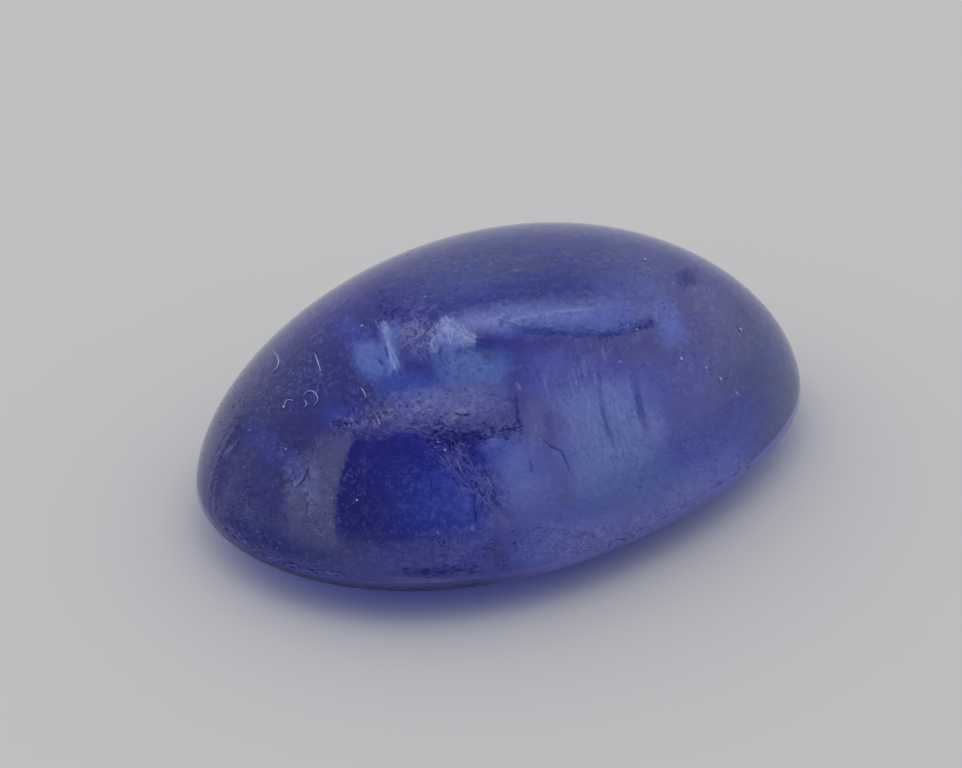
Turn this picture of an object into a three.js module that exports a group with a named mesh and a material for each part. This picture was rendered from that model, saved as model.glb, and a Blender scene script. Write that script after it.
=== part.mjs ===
// Tanzanite cabochon: one oval, domed, polished stone with a shallow convex base
// that is ground to a small flat. Millimetres, +Z up, +X along the stone. The origin
// lies on the resting flat, under the middle of the outline.
import * as THREE from 'three';

// Overall size.
const LENGTH = 10.0; // tip to tip, along X
const WIDTH = 7.0; // across the oval, along Y
const DOME_HEIGHT = 2.98; // from the girdle's lower edge to the crown
const BASE_DEPTH = 0.6; // from the girdle's lower edge down to the resting flat

// The outline is a hand-cut ellipse. Each wave is a share of the local radius, with
// its crests turned by so many radians from +X.
const THREE_SIDED_WAVE = { crests: 3, size: 0.012, turn: -0.73 };
const FOUR_SIDED_WAVE = { crests: 4, size: 0.0098, turn: -1.99 };

// Dome section: (radius)^FULLNESS + (height)^STEEPNESS = 1, both as shares.
const DOME_FULLNESS = 2.172;
const DOME_STEEPNESS = 1.672;

// Girdle: the narrow unpolished band at the widest place, with its lower edge eased.
const GIRDLE_BAND = 0.12;
const EDGE_DROP = 0.05;
const EDGE_INSET = 0.012; // share of the radius

// The resting flat's radius, as a share of the outline.
const FLAT_SHARE = 0.42;

// Fineness of the facets.
const SEGMENTS_ROUND = 96;
const DOME_ROWS = 22;
const BASE_ROWS = 5;

/** Radius and height, as shares, of the dome's section at angle t above the girdle. */
function domePoint(t) {
  const radius = Math.pow(Math.cos(t), 2 / DOME_FULLNESS);
  const height = Math.pow(Math.sin(t), 2 / DOME_STEEPNESS);
  return { radius, height };
}

/** The section from the middle of the flat, out over the base and up to the crown. */
function sectionPoints() {
  const points = [new THREE.Vector2(0, -BASE_DEPTH)];

  const edgeRadius = 1 - EDGE_INSET;
  const bowl = (BASE_DEPTH - EDGE_DROP) / (edgeRadius ** 2 - FLAT_SHARE ** 2);
  for (let row = 0; row <= BASE_ROWS; row += 1) {
    const radius = FLAT_SHARE + ((edgeRadius - FLAT_SHARE) * row) / BASE_ROWS;
    const height = -EDGE_DROP - bowl * (edgeRadius ** 2 - radius ** 2);
    points.push(new THREE.Vector2(radius, height));
  }
  points.push(new THREE.Vector2(1, 0));

  const bandTop = Math.asin(Math.pow(GIRDLE_BAND / DOME_HEIGHT, DOME_STEEPNESS / 2));
  for (let row = 0; row < DOME_ROWS; row += 1) {
    const t = bandTop + ((Math.PI / 2 - bandTop) * row) / DOME_ROWS;
    const { radius, height } = domePoint(t);
    points.push(new THREE.Vector2(radius, height * DOME_HEIGHT));
  }
  points.push(new THREE.Vector2(0, DOME_HEIGHT));
  return points;
}

/** How far one wave moves the outline out or in at angle u round the stone. */
function waveAt(wave, u) {
  return wave.size * Math.cos(wave.crests * u - wave.turn);
}

/** Turn the round unit solid into a hand-cut outline; the crown stays almost true. */
function shapeOutline(geometry) {
  const position = geometry.attributes.position;
  for (let i = 0; i < position.count; i += 1) {
    const x = position.getX(i);
    const y = position.getY(i);
    const u = Math.atan2(y, x);
    const wave = waveAt(THREE_SIDED_WAVE, u) + waveAt(FOUR_SIDED_WAVE, u);
    const swell = 1 + wave * (x ** 2 + y ** 2);
    position.setX(i, x * swell);
    position.setY(i, y * swell);
  }
}

/** Scale the outline to the stone's length and width, and set the flat on z = 0. */
function fitToSize(geometry) {
  geometry.computeBoundingBox();
  const size = geometry.boundingBox.getSize(new THREE.Vector3());
  geometry.scale(LENGTH / size.x, WIDTH / size.y, 1);
  geometry.computeBoundingBox();
  const middle = geometry.boundingBox.getCenter(new THREE.Vector3());
  geometry.translate(-middle.x, -middle.y, BASE_DEPTH);
}

/** The stone as one closed mesh. */
function makeStone() {
  const geometry = new THREE.LatheGeometry(sectionPoints(), SEGMENTS_ROUND);
  geometry.rotateX(Math.PI / 2);
  shapeOutline(geometry);
  fitToSize(geometry);
  geometry.computeVertexNormals();

  const polishedTanzanite = new THREE.MeshStandardMaterial({
    color: 0x42488a,
    roughness: 0.08,
    metalness: 0,
  });
  const stone = new THREE.Mesh(geometry, polishedTanzanite);
  stone.name = 'stone';
  return stone;
}

const cabochon = new THREE.Group();
cabochon.add(makeStone());

export default cabochon;
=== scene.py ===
"""An oval tanzanite cabochon, domed and polished, on a plain pale ground.

The stone is one clear blue-violet crystal. Its skin replaces the faceted solid, and its milky veils,
fractures and growth lines lie inside it, each at its own depth under the polish.
"""

import logging
import math
import random
from collections.abc import Callable
from dataclasses import dataclass
from enum import Enum
from functools import partial

import bmesh
import bpy
from mathutils import Matrix, Vector, noise


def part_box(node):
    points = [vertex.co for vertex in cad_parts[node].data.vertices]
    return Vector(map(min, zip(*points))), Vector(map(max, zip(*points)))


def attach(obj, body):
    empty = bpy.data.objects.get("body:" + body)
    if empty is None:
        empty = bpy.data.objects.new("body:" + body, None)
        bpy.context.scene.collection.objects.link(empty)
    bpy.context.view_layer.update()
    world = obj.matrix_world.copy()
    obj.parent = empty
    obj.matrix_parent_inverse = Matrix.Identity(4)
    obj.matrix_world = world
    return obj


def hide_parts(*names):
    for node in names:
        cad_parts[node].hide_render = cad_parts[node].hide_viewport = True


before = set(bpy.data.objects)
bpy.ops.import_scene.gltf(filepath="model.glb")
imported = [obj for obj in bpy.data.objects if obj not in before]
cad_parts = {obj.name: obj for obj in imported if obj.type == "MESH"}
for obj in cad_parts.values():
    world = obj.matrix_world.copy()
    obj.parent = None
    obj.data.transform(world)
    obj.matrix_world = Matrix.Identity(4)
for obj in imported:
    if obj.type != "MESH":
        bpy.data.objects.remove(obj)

LOG = logging.getLogger("cabochon")
MM = 0.001
NODE = "stone"
BODY = "root"
TANZANITE_IOR = 1.69
DENSITY_MARK = "cloudiness"
RUN_MARK = "run"
WHITE = (1.0, 1.0, 1.0)
EVEN = (1.0, 1.0, 1.0)
MIDDLE = (0.0, 0.0, 0.0)

Pixel = tuple[float, float]
Span = tuple[float, float]
Colour = tuple[float, float, float]
Stretch = tuple[float, float, float]
Socket = bpy.types.NodeSocket


@dataclass(frozen=True)
class Wave:
    """A slow ripple round the outline, as a hand-cut stone has."""

    crests: int
    size: float
    turn: float

    def at(self, angle: float) -> float:
        """The share of the radius that the ripple adds at an angle."""
        return self.size * math.cos(self.crests * angle - self.turn)


@dataclass
class StoneForm:
    """The cabochon's outline and section, fitted to the frame's box, in metres."""

    low: Vector
    high: Vector
    base_depth: float = 0.6 * MM
    fullness: float = 2.172  # the power of the radius in the dome's section
    steepness: float = 1.672  # and that of the height
    girdle_band: float = 0.12 * MM
    edge_drop: float = 0.05 * MM
    edge_inset: float = 0.012  # a share of the radius, as the flat's is
    flat_share: float = 0.42
    flat_rows: int = 4
    waves: tuple[Wave, ...] = (
        Wave(crests=3, size=0.012, turn=-0.73),
        Wave(crests=4, size=0.0098, turn=-1.99),
    )
    outline_steps: int = 720
    refinements: int = 4
    probe: float = 0.002 * MM  # the step that the dome's slope is measured with

    def __post_init__(self) -> None:
        """Measure the waved outline once, so that it fills the box exactly."""
        turns = [math.tau * i / self.outline_steps for i in range(self.outline_steps)]
        reach = [self._waved(math.cos(t), math.sin(t)) for t in turns]
        xs = [p[0] for p in reach]
        ys = [p[1] for p in reach]
        self.scale_x = (self.high.x - self.low.x) / (max(xs) - min(xs))
        self.scale_y = (self.high.y - self.low.y) / (max(ys) - min(ys))
        self.shift_x = self.low.x - min(xs) * self.scale_x
        self.shift_y = self.low.y - min(ys) * self.scale_y
        self.edge = self.low.z + self.base_depth
        self.dome_height = self.high.z - self.low.z - self.base_depth
        self.rim = 1 - self.edge_inset
        self.bowl = (self.base_depth - self.edge_drop) / (self.rim**2 - self.flat_share**2)

    def _ripple(self, x: float, y: float) -> float:
        """How far the outline's waves swell the radius in the direction of a point."""
        angle = math.atan2(y, x)
        return sum(w.at(angle) for w in self.waves)

    def _waved(self, x: float, y: float) -> tuple[float, float]:
        """Move a point of the unit disc as the outline's waves do."""
        swell = 1 + self._ripple(x, y) * (x * x + y * y)
        return x * swell, y * swell

    def placed(self, unit: Vector) -> Vector:
        """Place a point of the round unit solid on the stone.

        Args:
            unit: The point, with its height over the girdle's lower edge in metres.

        Returns:
            The same point of the stone.
        """
        x, y = self._waved(unit.x, unit.y)
        return Vector((x * self.scale_x + self.shift_x, y * self.scale_y + self.shift_y, self.edge + unit.z))

    def shape(self, bm: bmesh.types.BMesh) -> None:
        """Give a round unit solid or bowl the stone's outline, with its faces outwards.

        Args:
            bm: The mesh.
        """
        for vert in bm.verts:
            vert.co = self.placed(vert.co)
        bmesh.ops.recalc_face_normals(bm, faces=bm.faces)

    def unit_at(self, point: Vector) -> tuple[float, float]:
        """Find where a point of the stone lies in the round unit solid.

        Args:
            point: The point.

        Returns:
            Its share of the radius, and its height over the girdle's lower edge.
        """
        x = (point.x - self.shift_x) / self.scale_x
        y = (point.y - self.shift_y) / self.scale_y
        reach, ripple = math.hypot(x, y), self._ripple(x, y)
        radius = reach
        for _ in range(self.refinements):
            radius -= (radius + ripple * radius**3 - reach) / (1 + 3 * ripple * radius**2)
        return radius, point.z - self.low.z - self.base_depth

    def underside_at(self, radius: float) -> float:
        """Find how high the underside is.

        Args:
            radius: A share of the outline's radius.

        Returns:
            Its height over the girdle's lower edge, which is under 0.
        """
        if radius <= self.flat_share:
            return -self.base_depth
        return -self.edge_drop - self.bowl * (self.rim**2 - min(radius, self.rim) ** 2)

    def excess(self, point: Vector) -> float:
        """Tell on which side of the dome a point lies.

        Args:
            point: A point above the girdle's lower edge.

        Returns:
            A value under 0 inside the dome, 0 on it and over 0 outside.
        """
        radius, height = self.unit_at(point)
        risen = max(height, 0.0) / self.dome_height
        return radius**self.fullness + risen**self.steepness - 1

    def outward_at(self, point: Vector) -> Vector:
        """Find the dome's outward direction.

        Args:
            point: A point on the dome.

        Returns:
            The unit direction.
        """
        axes = [axis * self.probe for axis in Matrix.Identity(3)]
        return Vector([self.excess(point + a) - self.excess(point - a) for a in axes]).normalized()

    def section(self, dome_rows: int, base_rows: int) -> list[Vector]:
        """Draw the unit solid's section.

        Args:
            dome_rows: How many rows of faces the dome has.
            base_rows: How many the bowl of the base has.

        Returns:
            The section's points, from the middle of the flat up to the crown.
        """
        points = self.base_section(base_rows)
        points.append(Vector((1, 0, 0)))
        start = math.asin((self.girdle_band / self.dome_height) ** (self.steepness / 2))
        for row in range(dome_rows + 1):
            t = start + (math.pi / 2 - start) * row / dome_rows
            radius = max(math.cos(t), 0.0) ** (2 / self.fullness)
            height = self.dome_height * math.sin(t) ** (2 / self.steepness)
            points.append(Vector((radius, 0, height)))
        return points

    def base_section(self, rows: int) -> list[Vector]:
        """Draw the section of the underside alone.

        Args:
            rows: How many rows of faces its bowl has.

        Returns:
            The section's points, from the middle of the flat out to the lower edge.
        """
        inner = [self.flat_share * i / self.flat_rows for i in range(self.flat_rows)]
        shares = [self.flat_share + (self.rim - self.flat_share) * i / rows for i in range(rows + 1)]
        flat = [Vector((share, 0, -self.base_depth)) for share in inner]
        return flat + [Vector((share, 0, self.underside_at(share))) for share in shares]


@dataclass
class Sight:
    """The eye's place: over the stone, a little to one side, far away.

    A mark on the stone is placed by the pixel that it shows at, cast onto the dome or, bent as the
    stone bends it, down to its depth inside.
    """

    form: StoneForm
    elevation: float = math.radians(35.0)
    azimuth: float = math.radians(33.3)
    distance: float = 180 * MM
    pixels_per_metre: float = 64.94 / MM
    image_width: int = 962
    image_height: int = 768
    sensor: float = 36.0  # millimetres
    clip: Span = (10 * MM, 5.0)
    aim_pixel: Pixel = (497.1, 435.8)  # the middle of the girdle's lower edge
    net: float = 5.0  # pixels between the casts that are kept
    lead: float = 7 * MM  # from a cast's start to the stone's middle
    stride: float = 0.25 * MM
    halvings: int = 16
    clearance: float = 0.05 * MM  # the least height over the underside
    rim_margin: float = 0.008  # the least way in from the rim, as a share of the radius
    draw_in: float = 0.02  # a share of the way to the middle

    def __post_init__(self) -> None:
        """Work out where the eye stands and where it looks."""
        self.knots: dict[tuple[int, int], tuple[Vector, Vector] | None] = {}
        self.right = Vector((math.cos(self.azimuth), -math.sin(self.azimuth), 0))
        self.ahead = Vector((math.sin(self.azimuth), math.cos(self.azimuth), 0))
        rise = Vector((0, 0, math.sin(self.elevation)))
        forward = self.ahead * math.cos(self.elevation) - rise
        up = self.ahead * math.sin(self.elevation) + Vector((0, 0, math.cos(self.elevation)))
        middle = self.form.placed(Vector((0, 0, 0)))
        self.eye = middle - forward * self.distance
        across = (self.image_width / 2 - self.aim_pixel[0]) / self.pixels_per_metre
        above = (self.aim_pixel[1] - self.image_height / 2) / self.pixels_per_metre
        self.look = (middle + self.right * across + up * above - self.eye).normalized()
        self.turned = self.look.to_track_quat("-Z", "Y").to_matrix()

    def make_camera(self) -> bpy.types.Object:
        """Place the camera at the eye and make it the scene's own.

        Returns:
            The camera.
        """
        data = bpy.data.cameras.new("camera")
        data.sensor_width = self.sensor
        data.lens = self.distance * self.pixels_per_metre * self.sensor / self.image_width
        data.clip_start, data.clip_end = self.clip
        camera = bpy.data.objects.new("camera", data)
        bpy.context.scene.collection.objects.link(camera)
        camera.matrix_world = Matrix.Translation(self.eye) @ self.turned.to_4x4()
        bpy.context.scene.camera = camera
        return camera

    def towards(self, pixel: Pixel) -> Vector:
        """Find the direction in which the eye sees a pixel.

        Args:
            pixel: A place in the view.

        Returns:
            The unit direction.
        """
        reach = self.distance * self.pixels_per_metre
        across = (pixel[0] - self.image_width / 2) / reach
        above = (self.image_height / 2 - pixel[1]) / reach
        return (self.turned @ Vector((across, above, -1))).normalized()

    def on_dome(self, pixel: Pixel) -> tuple[Vector, Vector]:
        """Where the line of sight through a pixel meets the polished dome.

        It is worked out from the nearest four knots of a net of pixels, and beside the stone's
        outline, where a knot misses the stone, for the pixel itself.

        Args:
            pixel: A place in the view. One beside the stone is first drawn in to its edge.

        Returns:
            The point, in metres, and the dome's outward direction there.
        """
        knots = self._knots_round(pixel)
        if None not in knots:
            u, v = (a / self.net - math.floor(a / self.net) for a in pixel)
            shares = ((1 - u) * (1 - v), u * (1 - v), (1 - u) * v, u * v)
            spot = sum((k[0] * w for k, w in zip(knots, shares)), Vector())
            outward = sum((k[1] * w for k, w in zip(knots, shares)), Vector())
            return spot, outward.normalized()
        while (spot := self._cast(pixel)) is None:
            pixel = self._drawn_in(pixel)
        return spot, self.form.outward_at(spot)

    def facing(self, pixel: Pixel) -> float:
        """Tell how squarely the dome faces the eye.

        Args:
            pixel: A place in the view.

        Returns:
            1 where it faces the eye, and 0 at its outline and off it.
        """
        if None in self._knots_round(pixel) and self._cast(pixel) is None:
            return 0.0
        _, outward = self.on_dome(pixel)
        return max(0.0, -outward.dot(self.towards(pixel)))

    def _knots_round(self, pixel: Pixel) -> list[tuple[Vector, Vector] | None]:
        """The casts at the four knots of the net round a pixel."""
        i, j = math.floor(pixel[0] / self.net), math.floor(pixel[1] / self.net)
        return [self._knot(i + k, j + m) for m in (0, 1) for k in (0, 1)]

    def _knot(self, i: int, j: int) -> tuple[Vector, Vector] | None:
        """Cast one knot of the net, and keep what it meets.

        Args:
            i: The knot's column.
            j: The knot's row.

        Returns:
            The point and the dome's outward direction there, or None where it misses.
        """
        if (i, j) not in self.knots:
            spot = self._cast((i * self.net, j * self.net))
            self.knots[i, j] = None if spot is None else (spot, self.form.outward_at(spot))
        return self.knots[i, j]

    def _cast(self, pixel: Pixel) -> Vector | None:
        """March along the line of sight through a pixel to the dome.

        Args:
            pixel: A place in the view.

        Returns:
            The point where it meets the dome, or None where it misses.
        """
        way = self.towards(pixel)
        near = self.distance - self.lead
        far = near + self.stride
        while self.form.excess(self.eye + way * far) > 0:
            near, far = far, far + self.stride
            if (self.eye + way * far).z < self.form.edge:
                return None
        for _ in range(self.halvings):
            middle = (near + far) / 2
            if self.form.excess(self.eye + way * middle) > 0:
                near = middle
            else:
                far = middle
        return self.eye + way * far

    def inside(self, pixel: Pixel, depth: float) -> Vector:
        """The place in the stone that shows at a pixel, so deep along the bent line of sight.

        Args:
            pixel: A place in the view. One beside the stone is drawn in until it has such a place.
            depth: The way through the stone from the polish, in metres. Under 0, it is the height
                over the polish instead.

        Returns:
            The point, kept a little above the underside.
        """
        while True:
            entry, outward = self.on_dome(pixel)
            if depth <= 0:
                return entry - outward * depth
            way = self.towards(pixel)
            cosine = -way.dot(outward)
            inner = math.sqrt(1 - (1 - cosine**2) / TANZANITE_IOR**2)
            way = (way / TANZANITE_IOR + outward * (cosine / TANZANITE_IOR - inner)).normalized()
            reach = depth
            while reach > 0:
                point = entry + way * reach
                radius, height = self.form.unit_at(point)
                lowest = self.form.underside_at(radius) + self.clearance
                if height > lowest and radius < self.form.rim - self.rim_margin:
                    return point
                reach -= self.clearance
            pixel = self._drawn_in(pixel)

    def _drawn_in(self, pixel: Pixel) -> Pixel:
        """A pixel a little nearer to the stone's middle."""
        return tuple(a + (b - a) * self.draw_in for a, b in zip(pixel, self.aim_pixel))


def link_mesh(name: str, bm: bmesh.types.BMesh) -> bpy.types.Object:
    """Turn a finished bmesh into a smooth-shaded object in the scene.

    Args:
        name: The piece's name.
        bm: The mesh, which is freed.

    Returns:
        The new object, at the origin, unturned and unscaled.
    """
    mesh = bpy.data.meshes.new(name)
    bm.to_mesh(mesh)
    bm.free()
    mesh.shade_smooth()
    piece = bpy.data.objects.new(name, mesh)
    bpy.context.scene.collection.objects.link(piece)
    return piece


def spun(section: list[Vector], segments: int) -> bmesh.types.BMesh:
    """Spin a section that starts on the axis into a round unit solid or bowl.

    Args:
        section: The section's points, in the XZ plane.
        segments: How many steps the full turn has.

    Returns:
        The mesh, with its doubles merged.
    """
    merge_within = 1e-9
    bm = bmesh.new()
    verts = [bm.verts.new(p) for p in section]
    edges = [bm.edges.new(pair) for pair in zip(verts, verts[1:])]
    bmesh.ops.spin(
        bm, geom=verts + edges, cent=(0, 0, 0), axis=(0, 0, 1), angle=math.tau,
        steps=segments, use_merge=True,
    )
    bmesh.ops.remove_doubles(bm, verts=bm.verts, dist=merge_within)
    return bm


def eased(share: float) -> float:
    """A share, held between 0 and 1 and smoothed at both ends."""
    share = min(max(share, 0.0), 1.0)
    return share * share * (3 - 2 * share)


@dataclass
class Nodes:
    """A material's or group's node tree, with short ways to add to it."""

    tree: bpy.types.NodeTree

    def add(self, kind: str, **settings: object) -> bpy.types.Node:
        """Add a node.

        Args:
            kind: Its type.
            settings: Its properties, by name.

        Returns:
            The node.
        """
        node = self.tree.nodes.new(kind)
        for name, value in settings.items():
            setattr(node, name, value)
        return node

    def put(self, socket: Socket, value: object) -> None:
        """Give an input a plain value, or link an output to it.

        Args:
            socket: The input.
            value: The value, or the output.
        """
        if isinstance(value, bpy.types.NodeSocket):
            self.tree.links.new(value, socket)
        else:
            socket.default_value = value

    def fill(self, node: bpy.types.Node, inputs: dict[str, object]) -> bpy.types.Node:
        """Give some of a node's inputs their values.

        Args:
            node: The node.
            inputs: A value or an output for each input, by name.

        Returns:
            The same node.
        """
        for name, value in inputs.items():
            self.put(node.inputs[name], value)
        return node

    def place(self) -> Socket:
        """The place on the piece that is shaded, in metres."""
        return self.add("ShaderNodeTexCoord").outputs["Object"]

    def parts(self, vector: Socket) -> bpy.types.NodeOutputs:
        """The X, Y and Z of a vector."""
        return self.fill(self.add("ShaderNodeSeparateXYZ"), {"Vector": vector}).outputs

    def maths(self, operation: str, one: object, other: object = 0.0) -> Socket:
        """Work something out from two numbers.

        Args:
            operation: What the Math node does.
            one: A number or socket.
            other: Another.

        Returns:
            The output socket.
        """
        node = self.add("ShaderNodeMath", operation=operation)
        self.put(node.inputs[0], one)
        self.put(node.inputs[1], other)
        return node.outputs["Value"]

    def vector(self, operation: str, one: object, other: object) -> bpy.types.Node:
        """Work something out from two vectors.

        Args:
            operation: What the Vector Math node does.
            one: A vector or socket.
            other: Another.

        Returns:
            The node, for its Vector or its Value output.
        """
        node = self.add("ShaderNodeVectorMath", operation=operation)
        self.put(node.inputs[0], one)
        self.put(node.inputs[1], other)
        return node

    def ramp(self, value: object, low: float, high: float, to_low: float = 0.0,
             to_high: float = 1.0) -> Socket:
        """A value that goes smoothly from one level to another between two marks.

        Args:
            value: The number or socket that is read.
            low: The mark where the change starts.
            high: The mark where it ends.
            to_low: The level before it.
            to_high: The level after it.

        Returns:
            The output socket.
        """
        node = self.add("ShaderNodeMapRange", interpolation_type="SMOOTHSTEP")
        return self.fill(node, {
            "Value": value, "From Min": low, "From Max": high, "To Min": to_low, "To Max": to_high,
        }).outputs["Result"]

    def patch(self, place: Socket, spot: Vector, radius: float, core: float, level: float) -> Socket:
        """A round patch that fades at its edge.

        Args:
            place: The place that is shaded.
            spot: The patch's middle.
            radius: Its radius, in metres.
            core: The share of the radius over which it holds its full level.
            level: That level.

        Returns:
            The output socket.
        """
        away = self.vector("DISTANCE", place, spot).outputs["Value"]
        return self.ramp(away, low=radius * core, high=radius, to_low=level, to_high=0.0)

    def mottling(self, where: Socket, scale: object, **inputs: float) -> Socket:
        """Soft random values.

        Args:
            where: The place that they are read at.
            scale: How many of them a metre holds.
            inputs: The Noise Texture's other inputs, by name.

        Returns:
            The output socket, from 0 to 1.
        """
        node = self.add("ShaderNodeTexNoise")
        return self.fill(node, {"Vector": where, "Scale": scale, **inputs}).outputs["Fac"]

    def blend(self, share: object, one: object, other: object) -> Socket:
        """Mix two colours.

        Args:
            share: How much of the second there is.
            one: The first colour or colour socket.
            other: The second.

        Returns:
            The output socket.
        """
        share_in, one_in, other_in, colour_out = 0, 6, 7, 2
        node = self.add("ShaderNodeMix", data_type="RGBA")
        self.put(node.inputs[share_in], share)
        for socket, colour in ((node.inputs[one_in], one), (node.inputs[other_in], other)):
            self.put(socket, (*colour, 1) if isinstance(colour, tuple) else colour)
        return node.outputs[colour_out]

    def number_mix(self, share: object, one: object, other: object) -> Socket:
        """Mix two numbers.

        Args:
            share: How much of the second there is.
            one: The first number or socket.
            other: The second.

        Returns:
            The output socket.
        """
        node = self.add("ShaderNodeMix", data_type="FLOAT")
        return self.fill(node, {"Factor": share, "A": one, "B": other}).outputs["Result"]

    def shader_mix(self, share: object, one: Socket, other: Socket) -> Socket:
        """Mix two shaders.

        Args:
            share: How much of the second there is.
            one: The first shader.
            other: The second.

        Returns:
            The output socket.
        """
        node = self.add("ShaderNodeMixShader")
        for socket, value in zip(node.inputs, (share, one, other)):
            self.put(socket, value)
        return node.outputs["Shader"]

    def shader(self, kind: str, colour: object, **inputs: object) -> Socket:
        """Add a plain shader.

        Args:
            kind: Its type.
            colour: Its colour or colour socket.
            inputs: Its other inputs, by name.

        Returns:
            The output socket.
        """
        node = self.add(kind)
        self.put(node.inputs["Color"], (*colour, 1) if isinstance(colour, tuple) else colour)
        return self.fill(node, inputs).outputs[0]

    def effect(self, group: bpy.types.NodeTree, **inputs: object) -> Socket:
        """Place a shared effect with this material's own values.

        Args:
            group: The effect.
            inputs: Its inputs, by name.

        Returns:
            What it puts out.
        """
        return self.fill(self.add("ShaderNodeGroup", node_tree=group), inputs).outputs[0]


def new_material(name: str) -> tuple[bpy.types.Material, Nodes, bpy.types.Node]:
    """Make an empty material.

    Args:
        name: The material's name.

    Returns:
        The material, its nodes and its output node.
    """
    material = bpy.data.materials.new(name)
    material.use_nodes = True
    material.node_tree.nodes.clear()
    nodes = Nodes(material.node_tree)
    return material, nodes, nodes.add("ShaderNodeOutputMaterial")


class Effects:
    """The shared effects, each built once."""

    def __init__(self) -> None:
        """Build the groups."""
        self.wisps = self._wisps()
        self.grain = self._grain()

    def _group(self, name: str, output: str,
               inputs: dict[str, float | Stretch]) -> tuple[Nodes, dict[str, Socket], Socket]:
        """Start a group.

        Args:
            name: The group's name.
            output: The name of the value it puts out.
            inputs: The usual value of each of its inputs, by name.

        Returns:
            Its nodes, its inputs by name, and the socket to feed with the result.
        """
        tree = bpy.data.node_groups.new(name, "ShaderNodeTree")
        for given, value in inputs.items():
            kind = "NodeSocketVector" if isinstance(value, tuple) else "NodeSocketFloat"
            tree.interface.new_socket(given, in_out="INPUT", socket_type=kind).default_value = value
        tree.interface.new_socket(output, in_out="OUTPUT", socket_type="NodeSocketFloat")
        nodes = Nodes(tree)
        inner = nodes.add("NodeGroupInput")
        outer = nodes.add("NodeGroupOutput")
        return nodes, {s.name: s for s in inner.outputs if s.name}, outer.inputs[output]

    def _wisps(self) -> bpy.types.NodeTree:
        """Build cloudy streaks: soft noise, drawn out along one way, with a finer noise that breaks it up.

        Returns:
            The group.
        """
        nodes, given, out = self._group("wisps", "Mask", {
            "Vector": MIDDLE, "Scale": 3000.0, "Stretch": EVEN, "Floor": 0.3, "Speckle": 0.3,
            "Fineness": 14000.0,
        })
        drawn = nodes.vector("MULTIPLY", given["Vector"], given["Stretch"]).outputs[0]
        soft = nodes.mottling(drawn, given["Scale"], Detail=5.0, Roughness=0.72, Distortion=0.4)
        cloud = nodes.ramp(soft, low=0.36, high=0.66)
        room = nodes.maths("SUBTRACT", 1.0, given["Floor"])
        kept = nodes.maths("ADD", given["Floor"], nodes.maths("MULTIPLY", cloud, room))
        fine = nodes.mottling(given["Vector"], given["Fineness"], Detail=3.0, Roughness=0.8)
        dots = nodes.ramp(fine, low=0.38, high=0.62, to_low=1.0, to_high=0.0)
        spared = nodes.maths("SUBTRACT", 1.0, nodes.maths("MULTIPLY", dots, given["Speckle"]))
        nodes.put(out, nodes.maths("MULTIPLY", kept, spared))
        return nodes.tree

    def _grain(self) -> bpy.types.NodeTree:
        """Build the height of a rough, lapped surface: small sharp grains.

        Returns:
            The group.
        """
        nodes, given, out = self._group("grain", "Height", {
            "Vector": MIDDLE, "Scale": 20000.0, "Stretch": EVEN,
        })
        drawn = nodes.vector("MULTIPLY", given["Vector"], given["Stretch"]).outputs[0]
        rough = nodes.mottling(drawn, given["Scale"], Detail=2.0, Roughness=0.65)
        nodes.put(out, nodes.ramp(rough, low=0.3, high=0.7))
        return nodes.tree


@dataclass(frozen=True)
class Scuff:
    """A round patch of the dome that the polish didn't take."""

    middle: Pixel
    radius: float
    height: float  # how rough it is, in metres, or 0 where it is only scratched
    worn: float


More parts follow.
